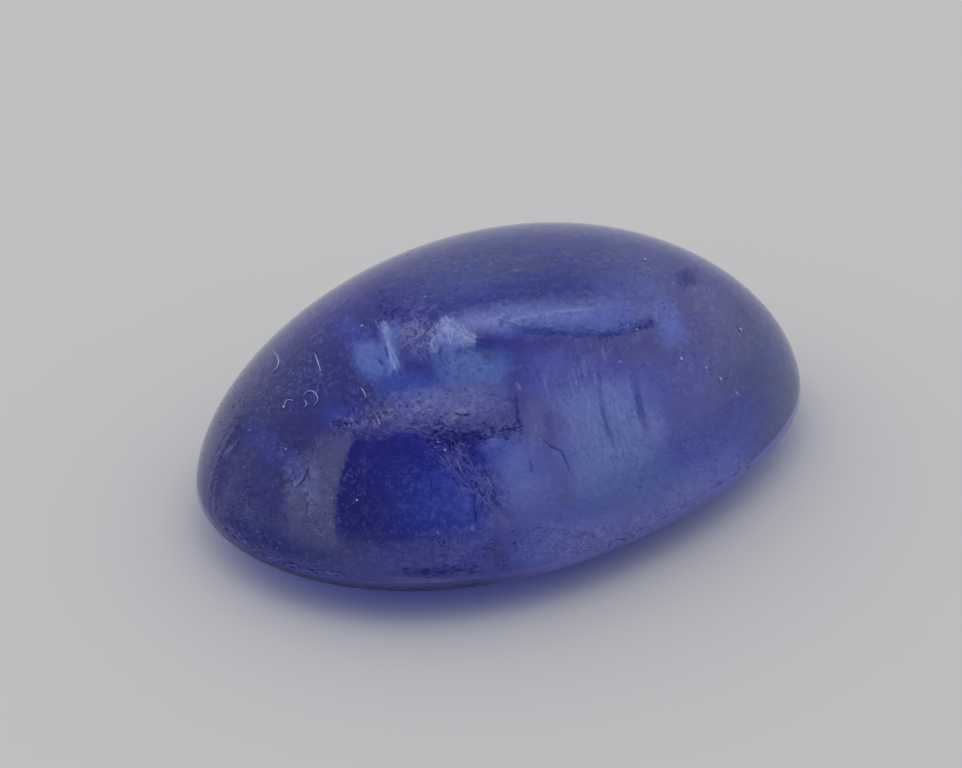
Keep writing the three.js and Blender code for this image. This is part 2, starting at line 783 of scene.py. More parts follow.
@dataclass(frozen=True)
class PolishedTanzanite:
    """The see-through crystal: colour comes from what the depth of stone takes away."""

    polish: float = 0.035
    lapped: float = 0.30
    lapped_over: Span = (-0.03 * MM, 0.03 * MM)  # from the girdle's lower edge
    absorbed: Colour = (0.135, 0.36, 0.90)
    density: float = 1000.0
    shade: Colour = (0.94, 0.95, 0.97)  # of light on its way out to a matt surface
    shadow: Colour = (0.31, 0.335, 0.51)  # and on its way in
    grains: float = 20000.0  # to a metre
    grain_height: float = 0.0002 * MM
    scuff_core: float = 0.35  # the share of a scuff's radius that is evenly rough
    scuffs: tuple[Scuff, ...] = ()

    def build(self, effects: Effects, sight: Sight) -> bpy.types.Material:
        """Make the material.

        Args:
            effects: The shared effects.
            sight: Places the scuffs on the dome.

        Returns:
            The material, with plain sockets for all that is even over the stone.
        """
        material, nodes, out = new_material("polished_tanzanite")
        place = nodes.place()
        low, high = (sight.form.edge + step for step in self.lapped_over)
        under = nodes.ramp(nodes.parts(place)["Z"], low, high, to_low=1.0, to_high=0.0)
        skin = nodes.add("ShaderNodeBsdfPrincipled")
        skin.inputs["Base Color"].default_value = (*WHITE, 1)
        skin.inputs["Transmission Weight"].default_value = 1.0
        skin.inputs["IOR"].default_value = TANZANITE_IOR
        nodes.put(skin.inputs["Roughness"], nodes.ramp(under, 0.0, 1.0, self.polish, self.lapped))
        nodes.put(skin.inputs["Normal"], self._bump(nodes, place, effects, sight))

        path = nodes.add("ShaderNodeLightPath")
        leaving = nodes.add("ShaderNodeNewGeometry").outputs["Backfacing"]
        clear = nodes.shader_mix(
            leaving, nodes.shader("ShaderNodeBsdfTransparent", self.shadow),
            nodes.shader("ShaderNodeBsdfTransparent", self.shade))
        lit = nodes.shader_mix(path.outputs["Is Diffuse Ray"], skin.outputs["BSDF"], clear)
        nodes.put(out.inputs["Surface"], nodes.shader_mix(path.outputs["Is Shadow Ray"], lit, clear))
        depth = nodes.add("ShaderNodeVolumeAbsorption")
        depth.inputs["Color"].default_value = (*self.absorbed, 1)
        depth.inputs["Density"].default_value = self.density
        nodes.put(out.inputs["Volume"], depth.outputs["Volume"])
        return material

    def _bump(self, nodes: Nodes, place: Socket, effects: Effects, sight: Sight) -> Socket:
        """Roughen the polish a little all over, and more in the scuffs.

        Args:
            nodes: The material's nodes.
            place: The place that is shaded.
            effects: The shared effects.
            sight: Places the scuffs on the dome.

        Returns:
            The bumped normal.
        """
        grain = nodes.effect(effects.grain, Vector=place, Scale=self.grains)
        height = nodes.maths("MULTIPLY", grain, self.grain_height)
        for scuff in (s for s in self.scuffs if s.height > 0):
            spot, _ = sight.on_dome(scuff.middle)
            mask = nodes.patch(place, spot, scuff.radius, self.scuff_core, scuff.height)
            height = nodes.maths("MAXIMUM", height, nodes.maths("MULTIPLY", grain, mask))
        bump = nodes.add("ShaderNodeBump")
        return nodes.fill(bump, {"Strength": 1.0, "Distance": 1.0, "Height": height}).outputs["Normal"]


@dataclass(frozen=True)
class LappedUnderside:
    """The ground underside as the dome shows it from within: matt, pale and mottled in the middle, darker
    towards the left and at the rim, with its wall round the girdle darkened at the foot as painted shade.
    """

    middle: Colour = (0.52, 0.60, 0.52)
    shaded: Colour = (0.21, 0.34, 0.39)
    left: Colour = (0.09, 0.15, 0.24)
    rim_left: Colour = (0.03, 0.04, 0.18)
    rim_right: Colour = (0.09, 0.11, 0.14)
    # painted shade: the wall is darkest at its foot, along the girdle's lower edge
    painted_foot_shade: Colour = (0.002, 0.002, 0.13)
    wall_left: Colour = (0.025, 0.032, 0.32)
    wall_right: Colour = (0.14, 0.15, 0.60)
    wall_far: Colour = (0.04, 0.045, 0.24)
    passed: Colour = (0.68, 0.71, 0.84)  # the tint of the light that goes through
    clouds: float = 900.0  # to a metre
    speckle: float = 0.25
    body_turns: Span = (-2.6 * MM, -0.6 * MM)  # along the stone
    rim_turns: Span = (-3.0 * MM, 0.5 * MM)
    rim_starts: Span = (0.62, 0.97)  # shares of the radius
    wall_turns: Span = (-2.6 * MM, -1.0 * MM)
    far_turns: Span = (-0.8 * MM, 0.8 * MM)  # across it
    # the painted shade at the wall's foot fades out over this span
    foot_shade_over: Span = (0.02 * MM, 0.09 * MM)  # up from the girdle's lower edge
    wall_over: Span = (-0.12 * MM, 0.0)

    def build(self, effects: Effects, form: StoneForm) -> bpy.types.Material:
        """Make the material.

        Args:
            effects: The shared effects.
            form: The stone's form, for where the rim lies.

        Returns:
            The material, which lets part of the light through to the ground.
        """
        material, nodes, out = new_material("lapped_underside")
        place = nodes.place()
        along, across, up = nodes.parts(place)
        flat = nodes.vector("MULTIPLY", place, (1 / form.scale_x, 1 / form.scale_y, 0)).outputs[0]
        reach = nodes.vector("LENGTH", flat, MIDDLE).outputs["Value"]
        mottle = nodes.effect(effects.wisps, Vector=place, Scale=self.clouds, Floor=0.0, Speckle=self.speckle)
        body = nodes.blend(mottle, self.shaded, self.middle)
        body = nodes.blend(nodes.ramp(along, *self.body_turns), self.left, body)
        rim = nodes.blend(nodes.ramp(along, *self.rim_turns), self.rim_left, self.rim_right)
        colour = nodes.blend(nodes.ramp(reach, *self.rim_starts), body, rim)

        # painted shade: the wall darkens towards its foot
        shaded_foot, start = (tuple(form.edge + step for step in over) for over in (self.foot_shade_over, self.wall_over))
        wall = nodes.blend(nodes.ramp(up, *shaded_foot), self.painted_foot_shade, self.wall_left)
        wall = nodes.blend(nodes.ramp(along, *self.wall_turns), wall, self.wall_right)
        wall = nodes.blend(nodes.ramp(across, *self.far_turns), wall, self.wall_far)
        colour = nodes.blend(nodes.ramp(up, *start), colour, wall)
        matt = nodes.shader("ShaderNodeBsdfDiffuse", colour)
        path = nodes.add("ShaderNodeLightPath")
        glow = nodes.shader("ShaderNodeBsdfTransparent", self.passed)
        lit = nodes.shader_mix(path.outputs["Is Diffuse Ray"], matt, glow)
        nodes.put(out.inputs["Surface"], nodes.shader_mix(path.outputs["Is Shadow Ray"], lit, glow))
        return material


@dataclass
class Skin:
    """The stone's whole outside: polished dome, ground girdle and ground base."""

    form: StoneForm
    finish: PolishedTanzanite
    dome_rows: int = 110
    base_rows: int = 24
    segments: int = 320

    def build(self, effects: Effects, sight: Sight) -> bpy.types.Object:
        """Spin the section, shape the outline and dress it.

        Args:
            effects: The shared effects.
            sight: Places the scuffs on the dome.

        Returns:
            The closed skin.
        """
        bm = spun(self.form.section(self.dome_rows, self.base_rows), self.segments)
        self.form.shape(bm)
        piece = link_mesh("crystal", bm)
        piece.data.materials.append(self.finish.build(effects, sight))
        return piece


@dataclass
class Underside:
    """The inner face of the ground underside and girdle, just within the skin."""

    form: StoneForm
    finish: LappedUnderside
    within: float = 0.03 * MM
    taper: float = 0.996
    rows: int = 16
    segments: int = 160

    def build(self, effects: Effects) -> bpy.types.Object:
        """Spin the bowl, shape its outline and dress it.

        Args:
            effects: The shared effects.

        Returns:
            The bowl, open towards the dome.
        """
        inner = 1 - self.within / self.form.scale_y
        section = [Vector((p.x * inner, 0, p.z + self.within)) for p in self.form.base_section(self.rows)]
        section.append(Vector((inner, 0, 0)))
        section.append(Vector((inner * self.taper, 0, self.form.girdle_band)))
        bm = spun(section, self.segments)
        self.form.shape(bm)
        piece = link_mesh("lapped_underside", bm)
        piece.data.materials.append(self.finish.build(effects, self.form))
        return piece


@dataclass(frozen=True)
class Marks:
    """One pattern of the grain effect, and where a mark of it starts and is full.

    Attributes:
        scale: How many grains a metre holds.
        full: The grain's height where a mark starts, and where it is full.
        stretch: How the grains are drawn out.
        least: The mark's level before it starts.
    """

    scale: float
    full: Span
    stretch: Stretch = EVEN
    least: float = 0.0

    def mask(self, nodes: Nodes, effects: Effects, place: Socket) -> Socket:
        """Place the pattern.

        Args:
            nodes: The material's nodes.
            effects: The shared effects.
            place: The place that is shaded.

        Returns:
            The mask's output socket.
        """
        grain = nodes.effect(effects.grain, Vector=place, Scale=self.scale, Stretch=self.stretch)
        return nodes.ramp(grain, *self.full, to_low=self.least)


@dataclass(frozen=True)
class FineScuffs:
    """The hairlines and pits that the polish left all over the dome, pale and dark, in loose patches."""

    pale: Colour = (0.20, 0.22, 0.60)
    ground: Colour = (0.36, 0.35, 0.52)
    dark: Colour = (0.010, 0.014, 0.13)
    dense: float = 0.25
    patches: Marks = Marks(scale=1100.0, full=(0.1, 0.9), least=0.35)
    pits: Marks = Marks(scale=28000.0, full=(0.5, 0.85))
    lines: Marks = Marks(scale=26000.0, full=(0.6, 0.85), stretch=(0.15, 0.6, 1.0))
    tones: Marks = Marks(scale=9000.0, full=(0.42, 0.58))
    flow: float = 5200.0
    flow_stretch: Stretch = (0.4, 1.0, 1.0)
    flow_speckle: float = 0.6
    worn_core: float = 0.2  # the share of a scuff's radius that is evenly worn
    worn_turns: Span = (0.0, 0.4)
    scuffs: tuple[Scuff, ...] = ()

    def build(self, effects: Effects, sight: Sight) -> bpy.types.Material:
        """Make the material, which is clear between the marks.

        Args:
            effects: The shared effects.
            sight: Places the worst patches on the dome.

        Returns:
            The material.
        """
        material, nodes, out = new_material("fine_scuffs")
        place = nodes.place()
        patches, pits, lines, tones = (
            marks.mask(nodes, effects, place) for marks in (self.patches, self.pits, self.lines, self.tones))
        worn: Socket | float = 0.0
        for scuff in self.scuffs:
            spot, _ = sight.on_dome(scuff.middle)
            patch = nodes.patch(place, spot, scuff.radius, self.worn_core, scuff.worn)
            worn = nodes.maths("MAXIMUM", worn, patch)
        usual = nodes.maths("MULTIPLY", nodes.maths("MAXIMUM", pits, lines), patches)
        flow = nodes.effect(effects.wisps, Vector=place, Scale=self.flow, Stretch=self.flow_stretch,
                            Floor=0.0, Speckle=self.flow_speckle)
        density = nodes.maths("MAXIMUM", nodes.maths("MULTIPLY", usual, self.dense),
                              nodes.maths("MULTIPLY", worn, flow))
        pale = nodes.blend(nodes.ramp(worn, *self.worn_turns), self.pale, self.ground)
        colour = nodes.blend(tones, self.dark, pale)
        clear = nodes.shader("ShaderNodeBsdfTransparent", WHITE)
        marked = nodes.shader_mix(density, clear, nodes.shader("ShaderNodeBsdfDiffuse", colour))
        path = nodes.add("ShaderNodeLightPath")
        passing = nodes.maths("MAXIMUM", path.outputs["Is Shadow Ray"], path.outputs["Is Diffuse Ray"])
        nodes.put(out.inputs["Surface"], nodes.shader_mix(passing, marked, clear))
        return material


@dataclass
class ScuffedFilm:
    """The layer right under the polish that carries the fine scuffs."""

    form: StoneForm
    finish: FineScuffs
    within: float = 0.006 * MM
    rows: int = 60
    segments: int = 240

    def build(self, effects: Effects, sight: Sight) -> bpy.types.Object:
        """Spin the dome a hair smaller, shape its outline and dress it.

        Args:
            effects: The shared effects.
            sight: Places the worst patches on the dome.

        Returns:
            The film, open towards the girdle.
        """
        inner = 1 - self.within / self.form.scale_y
        section = [p for p in self.form.section(self.rows, 1) if p.z > self.form.girdle_band / 2]
        bm = spun([Vector((p.x * inner, 0, p.z - self.within)) for p in section], self.segments)
        self.form.shape(bm)
        piece = link_mesh("scuffed_film", bm)
        piece.data.materials.append(self.finish.build(effects, sight))
        return piece


class Growth(Enum):
    """What an inclusion or a mark on the polish is made of. The pale fractures also carry painted highlights,
    and the dark chips painted shade.
    """

    MILK = "milk"
    TEAL = "teal"
    # pale fractures, some of them painted highlights: bright sheets for light flashing off a fracture or a
    # growth tube's end
    ICE_AND_GLINT = "ice"
    LILAC = "lilac"
    SHADE = "shade"
    RUST = "rust"
    DUSK = "dusk"
    # dark chips on the polish, and painted shade: dark films on it that dim its reflection at the lower left
    # rim
    CHIP_AND_SHADE = "chip"
    GRAZE = "graze"


@dataclass(frozen=True)
class InclusionFinish:
    """How one kind of inclusion scatters the light that reaches it.

    Attributes:
        colour: The colour it scatters.
        scale: How many clouds it has to a metre.
        stretch: How much the clouds are squeezed along the sheet, across it and from sheet to sheet.
        floor: How dense it still is between the clouds, from 0 to 1.
        speckle: How much its fine grains take away.
        shades: The share of the light that it keeps from what lies below it.
        through: The share of what it scatters that goes on through it.
    """

    colour: Colour
    scale: float
    stretch: Stretch
    floor: float
    speckle: float
    shades: float = 0.15
    through: float = 0.4

    def build(self, name: str, effects: Effects) -> bpy.types.Material:
        """Make the material, as dense as the piece's own mark says.

        Args:
            name: The material's name.
            effects: The shared effects.

        Returns:
            The material.
        """
        material, nodes, out = new_material(name)
        run = nodes.add("ShaderNodeAttribute", attribute_name=RUN_MARK).outputs["Vector"]
        mask = nodes.effect(
            effects.wisps, Vector=run, Scale=self.scale, Stretch=self.stretch,
            Floor=self.floor, Speckle=self.speckle,
        )
        mark = nodes.add("ShaderNodeAttribute", attribute_name=DENSITY_MARK).outputs["Fac"]
        back = nodes.shader("ShaderNodeBsdfDiffuse", self.colour)
        on = nodes.shader("ShaderNodeBsdfTranslucent", self.colour)
        clear = nodes.shader("ShaderNodeBsdfTransparent", WHITE)
        dense = nodes.maths("MULTIPLY", mask, mark)
        cloud = nodes.shader_mix(dense, clear, nodes.shader_mix(self.through, back, on))
        kept = nodes.maths("SUBTRACT", 1.0, nodes.maths("MULTIPLY", mark, self.shades))
        passing = nodes.shader("ShaderNodeBsdfTransparent", kept)
        path = nodes.add("ShaderNodeLightPath")
        dim = nodes.maths("MAXIMUM", path.outputs["Is Shadow Ray"], path.outputs["Is Diffuse Ray"])
        nodes.put(out.inputs["Surface"], nodes.shader_mix(dim, cloud, passing))
        return material


FINISHES: dict[Growth, InclusionFinish] = {
    Growth.MILK: InclusionFinish(
        colour=(0.82, 0.92, 1.0), scale=1900.0, stretch=(0.45, 1.5, 1.0), floor=0.58, speckle=0.48),
    Growth.TEAL: InclusionFinish(
        colour=(0.52, 0.84, 1.0), scale=1000.0, stretch=(0.5, 1.3, 1.0), floor=0.55, speckle=0.40),
    # pale fractures and striations; where they stand for a flash of light off a fracture or a tube's end, a
    # painted highlight
    Growth.ICE_AND_GLINT: InclusionFinish(
        colour=(0.54, 0.64, 1.0), scale=6500.0, stretch=(0.35, 1.6, 1.0), floor=0.6, speckle=0.40),
    Growth.LILAC: InclusionFinish(
        colour=(0.88, 0.78, 1.0), scale=1700.0, stretch=(0.6, 1.2, 1.0), floor=0.45, speckle=0.50),
    Growth.SHADE: InclusionFinish(
        colour=(0.030, 0.045, 0.25), scale=9000.0, stretch=(0.4, 1.2, 1.0), floor=0.75, speckle=0.30,
        shades=0.0),
    Growth.RUST: InclusionFinish(
        colour=(0.045, 0.050, 0.11), scale=3000.0, stretch=EVEN, floor=0.85, speckle=0.10, shades=0.0),
    Growth.DUSK: InclusionFinish(
        colour=(0.12, 0.15, 0.22), scale=2600.0, stretch=(0.5, 1.3, 1.0), floor=0.35, speckle=0.55),
    # dark chips, and painted shade where it is laid as a film that dims the polish's reflection
    Growth.CHIP_AND_SHADE: InclusionFinish(
        colour=(0.022, 0.028, 0.17), scale=9000.0, stretch=(0.4, 1.2, 1.0), floor=0.80, speckle=0.25,
        shades=0.0),
    Growth.GRAZE: InclusionFinish(
        colour=(0.30, 0.30, 0.68), scale=9000.0, stretch=(0.4, 1.2, 1.0), floor=0.80, speckle=0.25,
        shades=0.0),
}


@dataclass(frozen=True)
class Route:
    """A smooth line through a row of pixels."""

    marks: tuple[Pixel, ...]

    def length(self) -> float:
        """Its length, in pixels."""
        return sum(math.dist(a, b) for a, b in zip(self.marks, self.marks[1:]))

    def spot(self, share: float) -> Vector:
        """Find a place on the line.

        Args:
            share: A share of the line.

        Returns:
            The pixel.
        """
        short_of_the_end = 0.9999
        last = len(self.marks) - 1
        place = min(max(share, 0.0), short_of_the_end) * last
        i = int(place)
        t = place - i
        a, b, c, d = (Vector(self.marks[min(max(i + k, 0), last)]) for k in (-1, 0, 1, 2))
        return 0.5 * (
            2 * b + (c - a) * t + (2 * a - 5 * b + 4 * c - d) * t**2 + (3 * b - a - 3 * c + d) * t**3
        )

    def way(self, share: float) -> Vector:
        """The line's unit direction at a share of it."""
        step = 0.02
        return (self.spot(share + step) - self.spot(share - step)).normalized()


@dataclass(frozen=True)
class Sheet:
    """One thin sheet along a route.

    Attributes:
        route: Its middle line.
        width: How wide it is, in metres.
        depth: How deep a point lies, in metres, so far along (0 to 1) and to the side (-1 to 1).
        density: How dense it is there.
        key: A number of its own, for its own pattern.
    """

    route: Route
    width: float
    depth: Callable[[float, float], float]
    density: Callable[[float, float], float]
    key: float


@dataclass
class Sheets:
    """A mesh of thin sheets inside the stone, each of which is laid out in the plane of view.

    Attributes:
        sight: Casts the sheets' pixels into the stone.
        fades_from: How squarely the dome faces the eye where a deep sheet starts to fade
            towards the dome's outline.
    """

    sight: Sight
    fades_from: float = 0.55

    def __post_init__(self) -> None:
        """Start with no sheet."""
        self.bm = bmesh.new()
        self.density = self.bm.verts.layers.float.new(DENSITY_MARK)
        self.run = self.bm.verts.layers.float_vector.new(RUN_MARK)

    def lay(self, sheets: list[Sheet], along: int, across: int) -> None:
        """Lay some sheets, cut from one grid.

        Args:
            sheets: The sheets.
            along: How many faces each has along its route.
            across: How many faces each has across it.
        """
        rows = (across + 1) * len(sheets)
        grid = bmesh.ops.create_grid(self.bm, x_segments=along, y_segments=rows - 1, size=1.0)["verts"]
        owner: dict[bmesh.types.BMVert, int] = {}
        for vert in grid:
            row = round((vert.co.y + 1) / 2 * (rows - 1))
            owner[vert] = row // (across + 1)
            side = 2 * (row % (across + 1)) / across - 1
            self._place(vert, sheets[owner[vert]], (vert.co.x + 1) / 2, side)
        faces = {face for vert in grid for face in vert.link_faces}
        seams = [face for face in faces if len({owner[vert] for vert in face.verts}) > 1]
        bmesh.ops.delete(self.bm, geom=seams, context="FACES")

    def _place(self, vert: bmesh.types.BMVert, sheet: Sheet, share: float, side: float) -> None:
        """Move a point of a grid to its place in a sheet, and mark it.

        Args:
            vert: The point.
            sheet: The sheet that it belongs to.
            share: How far along the sheet it is, from 0 to 1.
            side: How far to the side it is, from -1 to 1.
        """
        scale = self.sight.pixels_per_metre
        way = sheet.route.way(share)
        aside = Vector((-way.y, way.x)) * (side * sheet.width / 2 * scale)
        pixel = tuple(sheet.route.spot(share) + aside)
        long = sheet.route.length() / scale
        depth = sheet.depth(share, side)
        facing = self.sight.facing(pixel)
        shown = eased(facing / self.fades_from) if depth > 0 else float(facing > 0)
        vert[self.density] = sheet.density(share, side) * shown
        vert[self.run] = Vector((share * long, side * sheet.width / 2, sheet.key * MM))
        vert.co = self.sight.inside(pixel, depth)

    def finish(self, name: str, growth: Growth, effects: Effects) -> bpy.types.Object:
        """Turn the sheets into one piece and dress it.

        Args:
            name: The piece's name.
            growth: What the sheets are made of.
            effects: The shared effects.

        Returns:
            The piece.
        """
        piece = link_mesh(name, self.bm)
        material = bpy.data.materials.get(growth.value)
        if material is None:
            material = FINISHES[growth].build(growth.value, effects)
        piece.data.materials.append(material)
        return piece


OVER = -0.003  # millimetres: a mark on the polish, not under it


@dataclass(frozen=True)
class CloudGrain:
    """How every cloud is meshed and how uneven it is."""

    pace: float = 0.1 * MM  # the side of a face
    least_along: int = 8
    least_across: int = 4
    spacing: float = 0.25 * MM  # from layer to layer
    wobble: float = 0.05 * MM
    bends: Span = (3, 1.5)  # of the wobble, along the cloud and across it
    cover: float = 0.03 * MM  # the least depth
    ragged: float = 0.3  # how far the edge strays, as a share of the half width
    rags: Span = (6, 4)  # along the cloud and across it
    key_step: float = 3.7  # between the patterns of two clouds
    layer_step: float = 11.3


CLOUD_GRAIN = CloudGrain()


@dataclass(frozen=True)
class Cloud:
    """A cloud, a veil or a single fracture inside the stone, in millimetres.

    Attributes:
        marks: The pixels that its middle line shows at.
        width: How wide it is.
        strength: How dense it is along its middle.
        depth: How deep it lies under the polish.
        layers: How many like sheets lie over each other.
        ends: The share of its length over which it fades at each end.
        soft: The share of its half width over which it fades at each side.
    """

    marks: tuple[Pixel, ...]
    width: float
    strength: float
    depth: float = OVER
    layers: int = 1
    ends: float = 0.3
    soft: float = 0.7

    def add_to(self, sheets: Sheets, number: int) -> None:
        """Lay its sheets.

        Args:
            sheets: The mesh they go into.
            number: The cloud's own number, for its own pattern.
        """
        route = Route(self.marks)
        long = route.length() / sheets.sight.pixels_per_metre
        width = self.width * MM
        along = max(CLOUD_GRAIN.least_along, round(long / CLOUD_GRAIN.pace))
        across = max(CLOUD_GRAIN.least_across, round(width / CLOUD_GRAIN.pace))
        for layer in range(self.layers):
            key = number * CLOUD_GRAIN.key_step + layer * CLOUD_GRAIN.layer_step
            depth, density = partial(self._depth_at, layer, key), partial(self._density_at, key)
            sheets.lay([Sheet(route, width, depth, density, key)], along, across)

    def _depth_at(self, layer: int, key: float, share: float, side: float) -> float:
        """Work out the depth of a point, a little uneven.

        Args:
            layer: The layer that the point is in.
            key: The layer's own number.
            share: How far along the cloud the point is.
            side: How far to the side it is.

        Returns:
            The depth, in metres.
        """
        depth = self.depth * MM
        if depth < 0:
            return depth
        along, aside = CLOUD_GRAIN.bends
        stray = CLOUD_GRAIN.wobble * noise.noise(Vector((share * along, side * aside, key)))
        return max(depth + CLOUD_GRAIN.spacing * layer + stray, CLOUD_GRAIN.cover)

    def _density_at(self, key: float, share: float, side: float) -> float:
        """Work out the density at a point, with a ragged edge.

        Args:
            key: The layer's own number.
            share: How far along the cloud the point is.
            side: How far to the side it is.

        Returns:
            The density, from 0 to 1.
        """
        along, aside = CLOUD_GRAIN.rags
        ragged = CLOUD_GRAIN.ragged * noise.noise(Vector((share * along, side * aside, key)))
        end = eased(min(share, 1 - share) / self.ends)
        return self.strength * end * eased((1 - abs(side) + ragged * abs(side)) / self.soft)


@dataclass(frozen=True)
class LineChances:
    """How lines are meshed, and the least and the most of the usual length, bow and so on of a line."""

    stray: float = 0.45  # to the side, as a share of half the field's width
    length: Span = (0.5, 1.3)
    bow: Span = (-2, 2)
    strength: Span = (0.5, 1.0)
    depth: Span = (0.7, 1.3)
    width: Span = (0.6, 1.3)
    fade_sides: float = 1.6
    fade_ends: float = 4
    stops: tuple[float, ...] = (-1, -0.5, 0, 0.5, 1)  # where its bow is drawn through
    along: int = 5
    across: int = 4
    key_step: float = 5.1  # between the patterns of two fields


LINES = LineChances()


@dataclass(frozen=True)
class Streaks:
    """A loose field of fine lines: scratches, chips or hair-fine fractures, in millimetres.

    Attributes:
        marks: The pixels that the field's middle line shows at.
        spread: How wide the field is.
        count: How many lines it has.
        length: How long a line is.
        width: How wide a line is.
        strength: How dense a line is along its middle.
        depth: How deep the lines lie under the polish.
        slant: How far the lines are turned from the field's direction, in degrees.
        scatter: How much their directions differ, in degrees.
        bend: How far the middle of a line is bowed, as a share of its length.
    """

    marks: tuple[Pixel, ...]
    spread: float
    count: int
    length: float
    width: float
    strength: float
    depth: float = OVER
    slant: float = 0.0
    scatter: float = 12.0
    bend: float = 0.05

    def add_to(self, sheets: Sheets, number: int) -> None:
        """Lay its lines.

        Args:
            sheets: The mesh they go into.
            number: The field's own number, which seeds its chances.
        """
        chance = random.Random(number)
        route = Route(self.marks)
        scale = sheets.sight.pixels_per_metre
        lines = []
        for line in range(self.count):
            share = chance.random()
            way = route.way(share)
            side = min(max(chance.gauss(0, LINES.stray), -1), 1)
            middle = route.spot(share) + Vector((-way.y, way.x)) * (side * (self.spread * MM) / 2 * scale)
            angle = math.atan2(way.y, way.x) + math.radians(self.slant + chance.gauss(0, self.scatter))
            reach = self.length * MM * scale * chance.uniform(*LINES.length) / 2
            ahead = Vector((math.cos(angle), math.sin(angle))) * reach
            bow = Vector((-ahead.y, ahead.x)) * (self.bend * chance.uniform(*LINES.bow))
            marks = tuple(tuple(middle + ahead * t + bow * (1 - t * t)) for t in LINES.stops)
            strength = self.strength * chance.uniform(*LINES.strength)
            depth = self.depth * MM * chance.uniform(*LINES.depth)
            lines.append(Sheet(
                Route(marks), self.width * MM * chance.uniform(*LINES.width), partial(self._even, depth),
                partial(self._density_at, strength), number * LINES.key_step + line,
            ))
        sheets.lay(lines, LINES.along, LINES.across)

    @staticmethod
    def _even(depth: float, _share: float, _side: float) -> float:
        """The depth of a line, which is the same all over it."""
        return depth

    @staticmethod
    def _density_at(strength: float, share: float, side: float) -> float:
        """The density at a point of a line, so far along it and to its side."""
        fade = eased(LINES.fade_sides - LINES.fade_sides * abs(side))
        return strength * fade * eased(LINES.fade_ends * min(share, 1 - share))


